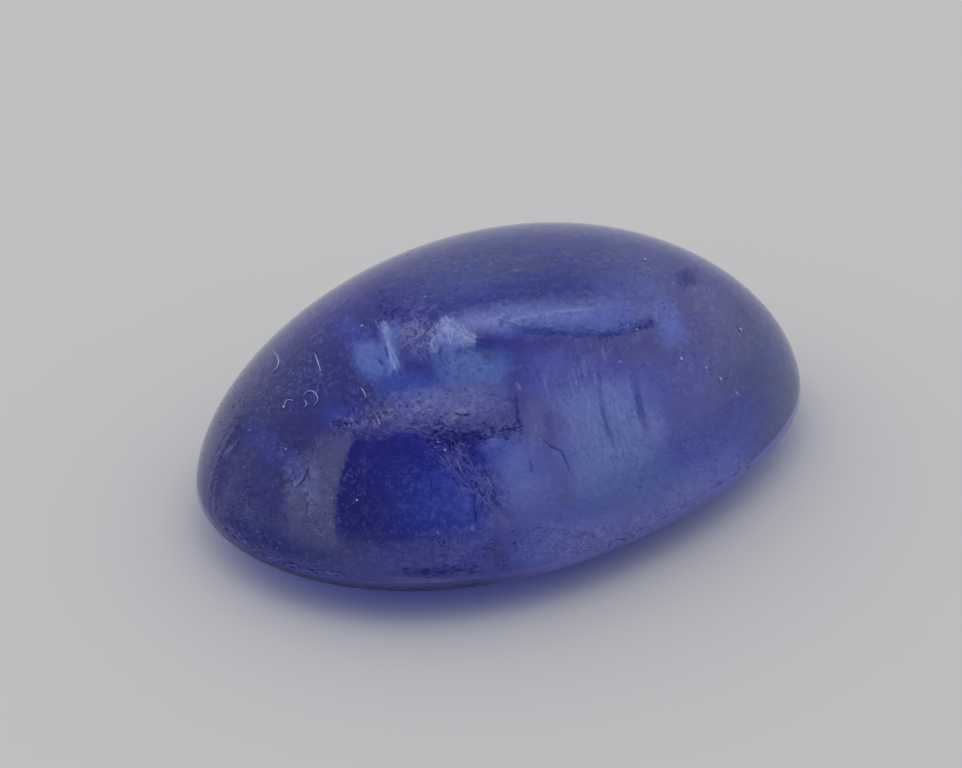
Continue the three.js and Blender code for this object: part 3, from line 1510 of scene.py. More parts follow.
# What lies in the stone, by its piece's name and what it is made of, with its sizes in millimetres.
GROWTHS: dict[tuple[str, Growth], tuple[Cloud | Streaks, ...]] = {
    ("deep_clouds", Growth.MILK): (
        Cloud(marks=((420, 528), (462, 532), (510, 540)), width=0.9, strength=0.6, depth=1.3, soft=1.0),
    ),
    ("deep_clouds", Growth.TEAL): (
        Cloud(marks=((372, 308), (480, 262), (590, 246), (690, 280)), width=1.1, strength=0.4, depth=0.9),
        Cloud(marks=((400, 304), (500, 288), (600, 284), (700, 310)), width=0.7, strength=0.35, depth=1.5),
        Cloud(marks=((470, 322), (560, 320), (660, 316)), width=0.6, strength=0.8, depth=1.3, layers=2),
        Cloud(marks=((652, 300), (668, 325), (678, 356)), width=0.6, strength=0.8, depth=1.0),
        Cloud(marks=((366, 500), (440, 494), (520, 480)), width=1.5, strength=0.5, depth=1.4, layers=2,
              ends=0.5, soft=0.9),
        Cloud(marks=((360, 560), (430, 556), (500, 548)), width=0.6, strength=0.6, depth=1.5),
        Cloud(marks=((490, 366), (570, 380), (650, 388), (740, 366)), width=1.1, strength=0.65, depth=1.7,
              layers=2),
        Cloud(marks=((488, 468), (560, 480), (660, 492)), width=1.6, strength=0.85, depth=1.4, layers=3),
        Cloud(marks=((580, 500), (640, 505), (720, 480)), width=1.2, strength=0.7, depth=1.1, layers=2),
        Cloud(marks=((478, 448), (505, 452), (524, 470)), width=0.7, strength=0.8, depth=1.1, layers=2),
        Cloud(marks=((318, 414), (345, 418), (372, 424)), width=0.42, strength=0.6, depth=1.7),
        Cloud(marks=((246, 416), (262, 440), (288, 470)), width=0.6, strength=0.4, depth=1.7),
        Cloud(marks=((370, 380), (410, 388), (470, 394)), width=0.7, strength=0.9, depth=1.4, layers=2),
        Cloud(marks=((370, 530), (450, 516), (510, 510)), width=1.0, strength=0.55, depth=1.6, ends=0.5,
              soft=0.9),
        Cloud(marks=((500, 545), (560, 550), (620, 540)), width=0.6, strength=0.8, depth=1.1),
        Cloud(marks=((430, 372), (466, 363), (514, 374)), width=0.75, strength=1.0, depth=0.75, layers=3),
        Cloud(marks=((340, 318), (350, 330), (372, 350)), width=0.5, strength=0.5, depth=1.4),
    ),
    ("clouds", Growth.MILK): (
        Cloud(marks=((594, 376), (608, 430), (626, 492)), width=1.9, strength=1.0, depth=0.8, layers=3),
        Cloud(marks=((392, 318), (390, 344), (392, 376)), width=0.5, strength=0.8, depth=0.8, layers=2,
              soft=0.9),
        Cloud(marks=((366, 338), (368, 358), (384, 380)), width=0.65, strength=1.0, depth=0.8, layers=2,
              soft=0.9),
        Cloud(marks=((446, 372), (468, 366), (494, 374)), width=0.5, strength=1.0, depth=0.75, layers=2,
              soft=0.9),
        Cloud(marks=((500, 542), (590, 530), (680, 498), (750, 446)), width=1.4, strength=0.8, depth=0.75,
              layers=3, soft=1.0),
        Cloud(marks=((425, 342), (460, 326), (510, 316), (560, 311), (610, 306), (668, 312)), width=0.55,
              strength=0.85, depth=0.8, soft=0.9),
        Cloud(marks=((284, 452), (297, 476), (300, 500)), width=0.4, strength=0.55, depth=1.0),
        Cloud(marks=((585, 290), (630, 284), (672, 296)), width=0.45, strength=0.6, depth=1.3),
        Cloud(marks=((640, 462), (700, 436), (756, 392)), width=1.4, strength=0.7, depth=1.0, soft=1.0),
        Cloud(marks=((572, 395), (586, 420), (604, 445)), width=0.5, strength=0.9, depth=0.75),
        Cloud(marks=((646, 405), (655, 425), (664, 445)), width=0.4, strength=0.9, depth=0.8),
        Cloud(marks=((618, 400), (624, 425), (630, 450)), width=0.22, strength=0.9, depth=0.75),
        Cloud(marks=((560, 480), (620, 476), (680, 462)), width=1.3, strength=0.8, depth=0.85, layers=2),
        Cloud(marks=((545, 345), (548, 380), (545, 410)), width=0.7, strength=0.5, depth=1.2),
        Cloud(marks=((500, 452), (514, 478), (540, 506)), width=1.1, strength=0.9, depth=1.0, soft=0.8),
    ),
    ("blushes", Growth.LILAC): (
        Cloud(marks=((500, 554), (600, 538), (680, 506), (765, 440)), width=1.0, strength=0.75, depth=0.4,
              layers=2, soft=1.0),
        Cloud(marks=((380, 410), (445, 402), (515, 398)), width=0.7, strength=0.8, depth=0.85, layers=2,
              soft=0.9),
        Cloud(marks=((531, 396), (535, 425), (534, 452)), width=0.4, strength=0.7, depth=0.6, soft=0.9),
        Cloud(marks=((402, 318), (418, 336), (430, 362)), width=0.7, strength=0.85, depth=0.75, soft=0.9),
        Cloud(marks=((455, 316), (490, 322), (520, 326)), width=0.4, strength=0.8, depth=0.7, soft=0.9),
        Cloud(marks=((484, 512), (498, 522), (514, 532)), width=0.35, strength=0.5, depth=0.6),
        Cloud(marks=((420, 480), (460, 500), (490, 530)), width=1.2, strength=0.8, depth=1.1, soft=1.0),
        Cloud(marks=((318, 455), (314, 485), (316, 515)), width=0.25, strength=0.45, depth=0.6),
        Cloud(marks=((370, 580), (460, 584), (560, 570)), width=0.24, strength=0.45, depth=0.25),
    ),
    ("fractures", Growth.ICE_AND_GLINT): (
        # painted highlight: the next four sheets draw the flash of light off a fracture plane
        Cloud(marks=((441, 318), (448, 334), (450, 352)), width=0.42, strength=1.0, depth=0.38, layers=2,
              ends=0.4),
        Cloud(marks=((444, 338), (460, 337), (478, 340)), width=0.34, strength=1.0, depth=0.5, ends=0.4),
        Cloud(marks=((432, 326), (454, 338), (476, 346)), width=0.75, strength=1.0, depth=0.42),
        Cloud(marks=((382, 320), (389, 350), (394, 372)), width=0.2, strength=0.9, depth=0.5),
        Cloud(marks=((364, 345), (370, 358), (382, 374)), width=0.5, strength=0.7, depth=0.9, soft=0.9),
        # painted highlight: part of the same flash
        Cloud(marks=((434, 336), (433, 345), (434, 355)), width=0.2, strength=0.9, depth=0.45),
        Cloud(marks=((456, 376), (470, 384), (488, 392)), width=0.3, strength=0.5, depth=0.6),
        Cloud(marks=((654, 300), (670, 322), (677, 344)), width=0.42, strength=0.9, depth=1.0, soft=0.9),
        # painted highlights: the bright ends of the two growth tubes
        Cloud(marks=((604, 442), (610, 448), (614, 453)), width=0.14, strength=1.0, depth=0.35),
        Cloud(marks=((637, 418), (639, 426), (640, 433)), width=0.12, strength=1.0, depth=0.35),
        Cloud(marks=((500, 322), (530, 316), (560, 311), (600, 309)), width=0.07, strength=0.6, depth=0.2,
              ends=0.2),
        Cloud(marks=((470, 527), (473, 528), (476, 528)), width=0.11, strength=0.9, depth=0.2),
        Cloud(marks=((515, 383), (518, 386), (521, 391)), width=0.09, strength=0.7, depth=0.3),
        # painted highlight: the next two fields are the flash's fan of fine bright streaks
        Streaks(marks=((443, 324), (456, 334), (472, 341)), spread=0.34, count=50, length=0.14, width=0.04,
                strength=1.0, depth=0.08, slant=24, scatter=24),
        Streaks(marks=((440, 322), (455, 334), (474, 344)), spread=0.32, count=70, length=0.12, width=0.03,
                strength=0.9, depth=0.14, slant=20, scatter=22),
        Streaks(marks=((385, 325), (390, 348), (395, 370)), spread=0.1, count=24, length=0.14, width=0.028,
                strength=0.9, depth=0.14, scatter=12),
        Streaks(marks=((572, 370), (600, 410), (630, 450)), spread=1.1, count=60, length=0.34, width=0.036,
                strength=0.7, depth=0.3, slant=22, scatter=8),
        Streaks(marks=((382, 322), (389, 348), (394, 370)), spread=0.16, count=26, length=0.18, width=0.04,
                strength=0.7, depth=0.08, scatter=14),
        # painted highlight: streaks of the same flash
        Streaks(marks=((434, 338), (433, 345), (434, 352)), spread=0.14, count=12, length=0.1, width=0.035,
                strength=0.8, depth=0.08, scatter=20),
        Streaks(marks=((375, 325), (388, 350), (396, 372)), spread=0.4, count=14, length=0.26, width=0.04,
                strength=0.6, depth=0.5, scatter=14),
        Streaks(marks=((590, 380), (604, 420), (616, 450)), spread=1.1, count=40, length=0.45, width=0.045,
                strength=0.45, depth=0.5, scatter=8),
        Streaks(marks=((570, 330), (600, 338), (640, 345)), spread=1.0, count=50, length=0.2, width=0.045,
                strength=0.4, depth=0.8, slant=80, scatter=30),
    ),
    ("fractures", Growth.GRAZE): (
        Streaks(marks=((560, 380), (596, 410), (640, 440)), spread=1.2, count=70, length=0.2, width=0.024,
                strength=0.4, slant=22, scatter=12),
    ),
    ("grazes", Growth.GRAZE): (
        Streaks(marks=((514, 552), (575, 546), (632, 536)), spread=0.3, count=280, length=0.08, width=0.024,
                strength=0.9, scatter=35, bend=0.3),
        Streaks(marks=((226, 400), (250, 450), (290, 540)), spread=2.2, count=220, length=0.05, width=0.024,
                strength=0.4, scatter=60),
        Streaks(marks=((240, 520), (290, 545), (350, 556)), spread=0.5, count=120, length=0.06, width=0.026,
                strength=0.5, scatter=50),
        Streaks(marks=((690, 280), (760, 350), (790, 420)), spread=1.6, count=130, length=0.05, width=0.026,
                strength=0.3, scatter=60),
        Streaks(marks=((360, 545), (430, 556), (510, 556)), spread=0.8, count=130, length=0.07, width=0.026,
                strength=0.28, scatter=14),
        Streaks(marks=((360, 424), (420, 404), (510, 402)), spread=0.7, count=170, length=0.07, width=0.032,
                strength=0.5, scatter=35, bend=0.2),
        Streaks(marks=((380, 330), (420, 332), (440, 350)), spread=0.7, count=80, length=0.06, width=0.032,
                strength=0.4, scatter=40),
        Streaks(marks=((448, 450), (474, 478), (500, 510)), spread=0.55, count=130, length=0.16, width=0.022,
                strength=0.75, slant=8, scatter=16, bend=0.12),
        Streaks(marks=((209, 470), (220, 460), (234, 444)), spread=0.18, count=16, length=0.3, width=0.026,
                strength=0.6, scatter=8),
        Streaks(marks=((228, 528), (270, 558), (345, 577)), spread=0.12, count=150, length=0.1, width=0.026,
                strength=0.5, scatter=20),
        Streaks(marks=((640, 520), (690, 500), (745, 460)), spread=0.4, count=90, length=0.06, width=0.03,
                strength=0.4, scatter=40),
        Streaks(marks=((300, 455), (312, 490), (316, 530)), spread=0.6, count=110, length=0.06, width=0.028,
                strength=0.4, scatter=50),
        Streaks(marks=((540, 312), (620, 318), (670, 310)), spread=0.5, count=110, length=0.06, width=0.032,
                strength=0.45, scatter=40),
        Streaks(marks=((330, 424), (345, 424), (362, 428)), spread=0.14, count=24, length=0.07, width=0.028,
                strength=0.6, scatter=40, bend=0.3),
        Streaks(marks=((425, 450), (470, 440), (522, 430)), spread=0.35, count=70, length=0.06, width=0.03,
                strength=0.6, scatter=30),
        Streaks(marks=((470, 345), (560, 350), (640, 360)), spread=1.4, count=110, length=0.05, width=0.028,
                strength=0.3, scatter=60),
        Streaks(marks=((560, 390), (620, 450), (700, 470)), spread=1.8, count=150, length=0.05, width=0.03,
                strength=0.3, scatter=60),
    ),
    ("dusk_veils", Growth.DUSK): (
        Cloud(marks=((690, 262), (756, 330), (780, 400), (740, 460)), width=1.5, strength=0.6, depth=0.12,
              layers=2, ends=0.4, soft=1.0),
        Cloud(marks=((380, 296), (480, 262), (590, 250), (700, 276)), width=1.3, strength=0.6, depth=0.1,
              soft=0.9),
        Cloud(marks=((205, 500), (225, 440), (270, 380), (330, 330)), width=1.1, strength=0.3, depth=0.1,
              soft=0.9),
        Cloud(marks=((215, 510), (260, 530), (320, 545), (400, 556)), width=1.0, strength=0.3, depth=0.1,
              soft=0.9),
        Cloud(marks=((360, 408), (430, 402), (520, 396)), width=0.6, strength=0.4, depth=0.1, soft=0.9),
        Cloud(marks=((716, 320), (724, 390), (700, 456)), width=1.6, strength=0.5, depth=0.1, ends=0.5,
              soft=1.0),
        Streaks(marks=((400, 272), (520, 248), (660, 264)), spread=0.9, count=70, length=0.7, width=0.09,
                strength=0.3, depth=0.1, scatter=4),
        Streaks(marks=((700, 300), (760, 370), (770, 430)), spread=1.4, count=60, length=0.3, width=0.08,
                strength=0.5, depth=0.1, scatter=40),
    ),
    ("growth_lines", Growth.SHADE): (
        Cloud(marks=((597, 362), (601, 400), (605, 425), (609, 445)), width=0.09, strength=0.3),
        Cloud(marks=((601, 404), (608, 428), (617, 454)), width=0.07, strength=0.35),
        Cloud(marks=((632, 366), (637, 395), (641, 415), (647, 434)), width=0.15, strength=0.5, ends=0.4),
        Cloud(marks=((516, 394), (517, 408), (518, 425)), width=0.07, strength=0.5),
        Cloud(marks=((540, 436), (550, 446), (561, 451), (566, 462), (573, 476)), width=0.045, strength=0.7,
              ends=0.25),
        Cloud(marks=((530, 460), (531, 466), (532, 474)), width=0.06, strength=0.5),
        Cloud(marks=((452, 358), (470, 347), (502, 345)), width=0.26, strength=0.6, soft=0.9),
        Cloud(marks=((478, 354), (488, 354), (502, 360)), width=0.34, strength=0.8, depth=0.4, soft=0.9),
        Cloud(marks=((503, 326), (545, 331), (600, 335), (640, 329), (656, 320)), width=0.12, strength=0.4,
              ends=0.15, soft=0.9),
        Cloud(marks=((634, 328), (645, 324), (656, 319)), width=0.17, strength=0.45, soft=1.0),
        Cloud(marks=((598, 335), (606, 335), (613, 333)), width=0.09, strength=0.6),
        Cloud(marks=((489, 546), (498, 556), (506, 566)), width=0.34, strength=0.6, depth=0.2),
        Cloud(marks=((295, 487), (303, 481), (308, 469)), width=0.045, strength=0.9, ends=0.2),
        Cloud(marks=((567, 462), (568, 485), (567, 510)), width=0.24, strength=0.35, depth=0.5, soft=0.9),
        Cloud(marks=((704, 330), (722, 370), (732, 420)), width=0.5, strength=0.4, depth=0.5, soft=0.9),
        Cloud(marks=((668, 350), (676, 385), (686, 430)), width=0.3, strength=0.4, depth=0.4, soft=0.9),
        Cloud(marks=((748, 356), (752, 380), (748, 410)), width=0.3, strength=0.35, depth=0.4, soft=0.9),
        Streaks(marks=((640, 470), (690, 470), (730, 440)), spread=1.2, count=60, length=0.12, width=0.05,
                strength=0.5, depth=0.2, scatter=60),
        Cloud(marks=((474, 498), (475, 511), (476, 525)), width=0.045, strength=0.9, ends=0.2),
        Cloud(marks=((384, 345), (387, 352), (388, 360)), width=0.06, strength=0.8),
        Cloud(marks=((377, 356), (381, 362), (385, 366)), width=0.08, strength=0.7),
        Cloud(marks=((363, 380), (371, 392), (382, 404)), width=0.16, strength=0.6, depth=0.3),
        Streaks(marks=((700, 320), (720, 365), (716, 420)), spread=0.9, count=30, length=0.18, width=0.07,
                strength=0.6, depth=0.3, scatter=25),
        Streaks(marks=((436, 358), (462, 366), (490, 360)), spread=0.45, count=60, length=0.1, width=0.035,
                strength=0.9, depth=0.15, slant=60, scatter=30),
        Streaks(marks=((404, 262), (500, 250), (620, 240)), spread=0.8, count=40, length=0.7, width=0.09,
                strength=0.5, depth=0.5, scatter=6),
    ),
    ("growth_lines", Growth.RUST): (
        Cloud(marks=((679, 268), (685, 279), (692, 290)), width=0.36, strength=0.35, ends=0.4),
    ),
    ("chips", Growth.CHIP_AND_SHADE): (
        # painted shade: a dark film over the polish that dims its reflection along the lower left rim
        Cloud(marks=((212, 505), (252, 536), (300, 552), (360, 560)), width=0.34, strength=0.35, soft=1.0),
        Cloud(marks=((380, 571), (430, 572), (478, 567)), width=0.18, strength=0.45, ends=0.5, soft=1.0),
        # painted shade: two more dark films that dim the reflection at the left rim
        Cloud(marks=((213, 520), (215, 485), (231, 444), (262, 396)), width=0.5, strength=0.4, soft=1.0),
        Cloud(marks=((222, 505), (250, 530), (300, 540)), width=0.7, strength=0.25, soft=1.0),
        Streaks(marks=((510, 532), (556, 531), (596, 535)), spread=0.12, count=80, length=0.07, width=0.022,
                strength=0.45, scatter=16),
        Cloud(marks=((430, 478), (434, 492), (448, 501)), width=0.07, strength=0.45),
        Cloud(marks=((452, 413), (462, 415), (472, 414)), width=0.05, strength=0.9),
        Cloud(marks=((438, 440), (462, 440), (490, 434)), width=0.3, strength=0.6, soft=0.9),
        Streaks(marks=((428, 440), (470, 436), (522, 428)), spread=0.34, count=200, length=0.08, width=0.034,
                strength=0.7, slant=-6, scatter=22, bend=0.1),
        Streaks(marks=((436, 430), (456, 442), (474, 456)), spread=0.5, count=110, length=0.06, width=0.034,
                strength=0.6, scatter=34, bend=0.15),
        Streaks(marks=((350, 420), (400, 408), (440, 420)), spread=0.6, count=200, length=0.06, width=0.028,
                strength=0.5, scatter=28, bend=0.15),
        Streaks(marks=((400, 400), (460, 398), (520, 404)), spread=0.8, count=110, length=0.06, width=0.03,
                strength=0.4, scatter=28, bend=0.15),
        Streaks(marks=((444, 450), (472, 478), (496, 510)), spread=0.6, count=130, length=0.14, width=0.022,
                strength=0.55, slant=8, scatter=16, bend=0.12),
        Streaks(marks=((480, 454), (490, 474), (500, 492)), spread=0.22, count=24, length=0.11, width=0.026,
                strength=0.5, scatter=12, bend=0.1),
        Streaks(marks=((434, 452), (434, 478), (446, 500)), spread=0.3, count=34, length=0.12, width=0.024,
                strength=0.4, scatter=16, bend=0.15),
        Streaks(marks=((514, 546), (570, 542), (636, 538)), spread=0.4, count=170, length=0.07, width=0.024,
                strength=0.5, scatter=35, bend=0.2),
        Streaks(marks=((404, 572), (446, 571), (476, 567)), spread=0.2, count=60, length=0.09, width=0.028,
                strength=0.5, scatter=12),
        Streaks(marks=((486, 544), (498, 556), (508, 566)), spread=0.3, count=60, length=0.05, width=0.028,
                strength=0.5, slant=-25, scatter=25),
        Streaks(marks=((443, 538), (440, 550), (443, 564)), spread=0.22, count=22, length=0.05, width=0.032,
                strength=0.6, scatter=40),
        Streaks(marks=((376, 310), (420, 326), (440, 352)), spread=0.8, count=130, length=0.05, width=0.032,
                strength=0.6, scatter=40),
        Streaks(marks=((500, 322), (580, 333), (655, 322)), spread=0.24, count=170, length=0.07, width=0.026,
                strength=0.4, scatter=25),
        Streaks(marks=((380, 300), (500, 300), (640, 300)), spread=1.4, count=130, length=0.05, width=0.028,
                strength=0.35, scatter=40),
        Streaks(marks=((334, 426), (346, 422), (364, 430)), spread=0.2, count=40, length=0.07, width=0.03,
                strength=0.8, scatter=40, bend=0.2),
        Streaks(marks=((226, 528), (270, 558), (345, 576)), spread=0.12, count=90, length=0.12, width=0.026,
                strength=0.5, scatter=8),
        Streaks(marks=((300, 465), (312, 500), (318, 540)), spread=0.6, count=130, length=0.05, width=0.026,
                strength=0.35, scatter=60),
        Streaks(marks=((230, 420), (290, 430), (330, 450)), spread=1.4, count=130, length=0.055, width=0.03,
                strength=0.4, scatter=50),
        Streaks(marks=((236, 490), (258, 506), (290, 518)), spread=0.6, count=90, length=0.055, width=0.03,
                strength=0.4, scatter=50),
        Streaks(marks=((560, 400), (620, 460), (720, 460)), spread=2.0, count=200, length=0.05, width=0.03,
                strength=0.35, scatter=50),
        Streaks(marks=((500, 350), (600, 360), (740, 360)), spread=1.4, count=150, length=0.05, width=0.03,
                strength=0.35, scatter=50),
    ),
}

SCUFFS: tuple[Scuff, ...] = (
    Scuff(middle=(375, 420), radius=0.50 * MM, height=0.0022 * MM, worn=0.55),
    Scuff(middle=(410, 410), radius=0.55 * MM, height=0.0022 * MM, worn=0.55),
    Scuff(middle=(450, 408), radius=0.55 * MM, height=0.0026 * MM, worn=0.50),
    Scuff(middle=(450, 430), radius=0.60 * MM, height=0.0030 * MM, worn=0.30),
    Scuff(middle=(492, 404), radius=0.45 * MM, height=0.0020 * MM, worn=0.15),
    Scuff(middle=(490, 432), radius=0.50 * MM, height=0.0030 * MM, worn=0.30),
    Scuff(middle=(345, 424), radius=0.35 * MM, height=0.0016 * MM, worn=0.45),
    Scuff(middle=(455, 470), radius=0.55 * MM, height=0.0026 * MM, worn=0.20),
    Scuff(middle=(480, 485), radius=0.55 * MM, height=0.0026 * MM, worn=0.30),
    Scuff(middle=(498, 515), radius=0.45 * MM, height=0.0022 * MM, worn=0.20),
    Scuff(middle=(418, 335), radius=0.55 * MM, height=0.0020 * MM, worn=0.55),
    Scuff(middle=(392, 322), radius=0.40 * MM, height=0.0016 * MM, worn=0.30),
    Scuff(middle=(505, 318), radius=0.50 * MM, height=0.0012 * MM, worn=0.30),
    Scuff(middle=(545, 540), radius=0.45 * MM, height=0.0026 * MM, worn=0.30),
    Scuff(middle=(590, 540), radius=0.55 * MM, height=0.0026 * MM, worn=0.35),
    Scuff(middle=(298, 478), radius=0.40 * MM, height=0.0, worn=0.50),
    Scuff(middle=(300, 508), radius=0.45 * MM, height=0.0, worn=0.35),
    Scuff(middle=(280, 450), radius=0.45 * MM, height=0.0, worn=0.10),
    Scuff(middle=(340, 552), radius=0.45 * MM, height=0.0, worn=0.10),
    Scuff(middle=(260, 550), radius=0.40 * MM, height=0.0, worn=0.15),
    Scuff(middle=(221, 505), radius=0.30 * MM, height=0.0, worn=0.15),
    Scuff(middle=(450, 540), radius=0.60 * MM, height=0.0, worn=0.15),
    Scuff(middle=(385, 520), radius=0.50 * MM, height=0.0, worn=0.12),
    Scuff(middle=(445, 505), radius=0.60 * MM, height=0.0, worn=0.14),
    Scuff(middle=(560, 400), radius=0.60 * MM, height=0.0, worn=0.15),
    Scuff(middle=(640, 305), radius=0.60 * MM, height=0.0, worn=0.30),
    Scuff(middle=(580, 300), radius=0.60 * MM, height=0.0, worn=0.20),
    Scuff(middle=(690, 500), radius=0.60 * MM, height=0.0, worn=0.25),
    Scuff(middle=(735, 465), radius=0.50 * MM, height=0.0, worn=0.25),
    Scuff(middle=(640, 525), radius=0.50 * MM, height=0.0, worn=0.25),
)


@dataclass(frozen=True)
class PaleFluff:
    """Plain matt lint and dust."""

    colour: Colour = (0.42, 0.46, 0.74)
    darkest: float = 0.55
    patches: float = 9000.0  # to a metre

    def build(self) -> bpy.types.Material:
        """Make the material.

        Returns:
            The material.
        """
        material, nodes, out = new_material("pale_fluff")
        uneven = nodes.mottling(nodes.place(), self.patches)
        darker = tuple(c * self.darkest for c in self.colour)
        colour = nodes.blend(uneven, darker, self.colour)
        nodes.put(out.inputs["Surface"], nodes.shader("ShaderNodeBsdfDiffuse", colour))
        return material


@dataclass(frozen=True)
class Speck:
    """A grain of dust: the pixel that it shows at, and its size as a share of the usual one."""

    middle: Pixel
    size: float


@dataclass(frozen=True)
class Lint:
    """Fibres that lie on the polish, and the dust beside them."""

    radius: float = 0.011 * MM
    tip: float = 0.35  # a share of the radius, as the lift is
    lift: float = 0.8
    steps: int = 24
    sides: int = 6
    speck_radius: float = 0.017 * MM
    speck_height: float = 0.5
    speck_lift: float = 0.3
    speck_detail: int = 2
    finish: PaleFluff = PaleFluff()
    fibres: tuple[tuple[Pixel, ...], ...] = (
        ((273, 351), (278, 357), (279, 364), (276, 370), (272, 373)),
        ((315, 354), (318, 362), (321, 372)),
        ((304, 396), (306, 393), (311, 391), (316, 394), (318, 400), (314, 406)),
        ((305, 400), (307, 405), (304, 407)),
        ((284, 409), (286, 402), (289, 400), (293, 401)),
        ((361, 388), (364, 392), (366, 398)),
        ((378, 419), (379, 422), (380, 425)),
    )
    specks: tuple[Speck, ...] = (
        Speck((456, 271), 1.0), Speck((461, 284), 0.8), Speck((517, 271), 0.8), Speck((521, 280), 0.8),
        Speck((543, 309), 0.8), Speck((347, 291), 0.7), Speck((362, 326), 1.3), Speck((425, 297), 0.8),
        Speck((405, 302), 0.7), Speck((645, 260), 1.7), Speck((740, 330), 2.0), Speck((706, 368), 1.4),
        Speck((720, 379), 1.6), Speck((736, 393), 1.4), Speck((681, 359), 1.9), Speck((620, 362), 1.1),
        Speck((739, 465), 1.1), Speck((758, 451), 1.1), Speck((723, 487), 0.8), Speck((357, 500), 1.0),
        Speck((286, 449), 0.9), Speck((250, 430), 0.9), Speck((284, 407), 1.4), Speck((637, 330), 1.2),
        Speck((211, 495), 1.0), Speck((445, 450), 1.2), Speck((438, 442), 0.9), Speck((332, 498), 0.9),
        Speck((404, 305), 0.6), Speck((438, 533), 0.8),
    )

    def build(self, sight: Sight) -> bpy.types.Object:
        """Lay the fibres and the dust on the dome, in one piece.

        Args:
            sight: Casts their pixels onto the dome.

        Returns:
            The piece.
        """
        bm = bmesh.new()
        for marks in self.fibres:
            self._lay_fibre(bm, sight, Route(marks))
        flat = Matrix.Diagonal((1.0, 1.0, self.speck_height, 1.0))
        for speck in self.specks:
            spot, outward = sight.on_dome(speck.middle)
            radius = speck.size * self.speck_radius
            turned = outward.to_track_quat("Z", "Y").to_matrix().to_4x4()
            place = Matrix.Translation(spot + outward * radius * self.speck_lift) @ turned @ flat
            bmesh.ops.create_icosphere(bm, subdivisions=self.speck_detail, radius=radius, matrix=place)
        piece = link_mesh("lint_and_dust", bm)
        piece.data.materials.append(self.finish.build())
        return piece

    def _lay_fibre(self, bm: bmesh.types.BMesh, sight: Sight, route: Route) -> None:
        """Sweep one fibre's round section along its route on the dome.

        Args:
            bm: The mesh it goes into.
            sight: Casts the route's pixels onto the dome.
            route: The fibre's line.
        """
        lifted = []
        for i in range(self.steps + 1):
            spot, outward = sight.on_dome(tuple(route.spot(i / self.steps)))
            lifted.append(spot + outward * self.radius * self.lift)
        for i, point in enumerate(lifted):
            way = (lifted[min(i + 1, self.steps)] - lifted[max(i - 1, 0)]).normalized()
            fullness = self.tip + (1 - self.tip) * math.sin(math.pi * (i + 0.5) / (self.steps + 1))
            turned = way.to_track_quat("Z", "Y").to_matrix().to_4x4()
            place = Matrix.Translation(point) @ turned @ Matrix.Scale(self.radius * fullness, 4)
            if i == 0:
                made = bmesh.ops.create_circle(
                    bm, cap_ends=True, segments=self.sides, radius=1.0, matrix=place)["verts"]
                end = made[0].link_faces[0]
            else:
                made = bmesh.ops.extrude_face_region(bm, geom=[end])["geom"]
                if i > 1:
                    bmesh.ops.delete(bm, geom=[end], context="FACES_ONLY")
                end = next(part for part in made if isinstance(part, bmesh.types.BMFace))
                bmesh.ops.transform(bm, matrix=place @ last.inverted(), verts=end.verts)
            last = place


@dataclass(frozen=True)
class Bearing:
    """A direction seen from the stone: degrees right of straight ahead, and degrees up."""

    turn: float
    rise: float

    def towards(self, sight: Sight) -> Vector:
        """Turn the bearing into a direction.

        Args:
            sight: Gives what is straight ahead and what is right.

        Returns:
            The unit direction in the stone's frame.
        """
        turn, rise = math.radians(self.turn), math.radians(self.rise)
        level = sight.ahead * math.cos(turn) + sight.right * math.sin(turn)
        return level * math.cos(rise) + Vector((0, 0, math.sin(rise)))


@dataclass(frozen=True)
class Panel:
    """A patch of the light tent with straight edges: a lamp behind the cloth, or a gap.

    Attributes:
        level: How bright it is.
        corners: Its corners, in order.
        softness: How soft the edge from each corner to the next is.
    """

    level: float
    corners: tuple[Bearing, ...]
    softness: tuple[float, ...]

    def mask(self, nodes: Nodes, direction: Socket, sight: Sight) -> Socket:
        """A socket that is 1 inside the panel and falls to 0 over its soft edges.

        Args:
            nodes: The world's nodes.
            direction: The socket that gives the direction looked at.
            sight: Turns the corners' bearings into directions.

        Returns:
            The mask's output socket.
        """
        corners = [b.towards(sight) for b in self.corners]
        middle = sum(corners, Vector()).normalized()
        mask = None
        for one, other, softness in zip(corners, corners[1:] + corners[:1], self.softness):
            normal = one.cross(other).normalized()
            if normal.dot(middle) < 0:
                normal.negate()
            reach = nodes.vector("DOT_PRODUCT", direction, normal).outputs["Value"]
            edge = nodes.ramp(reach, -softness, softness)
            mask = edge if mask is None else nodes.maths("MULTIPLY", mask, edge)
        return mask


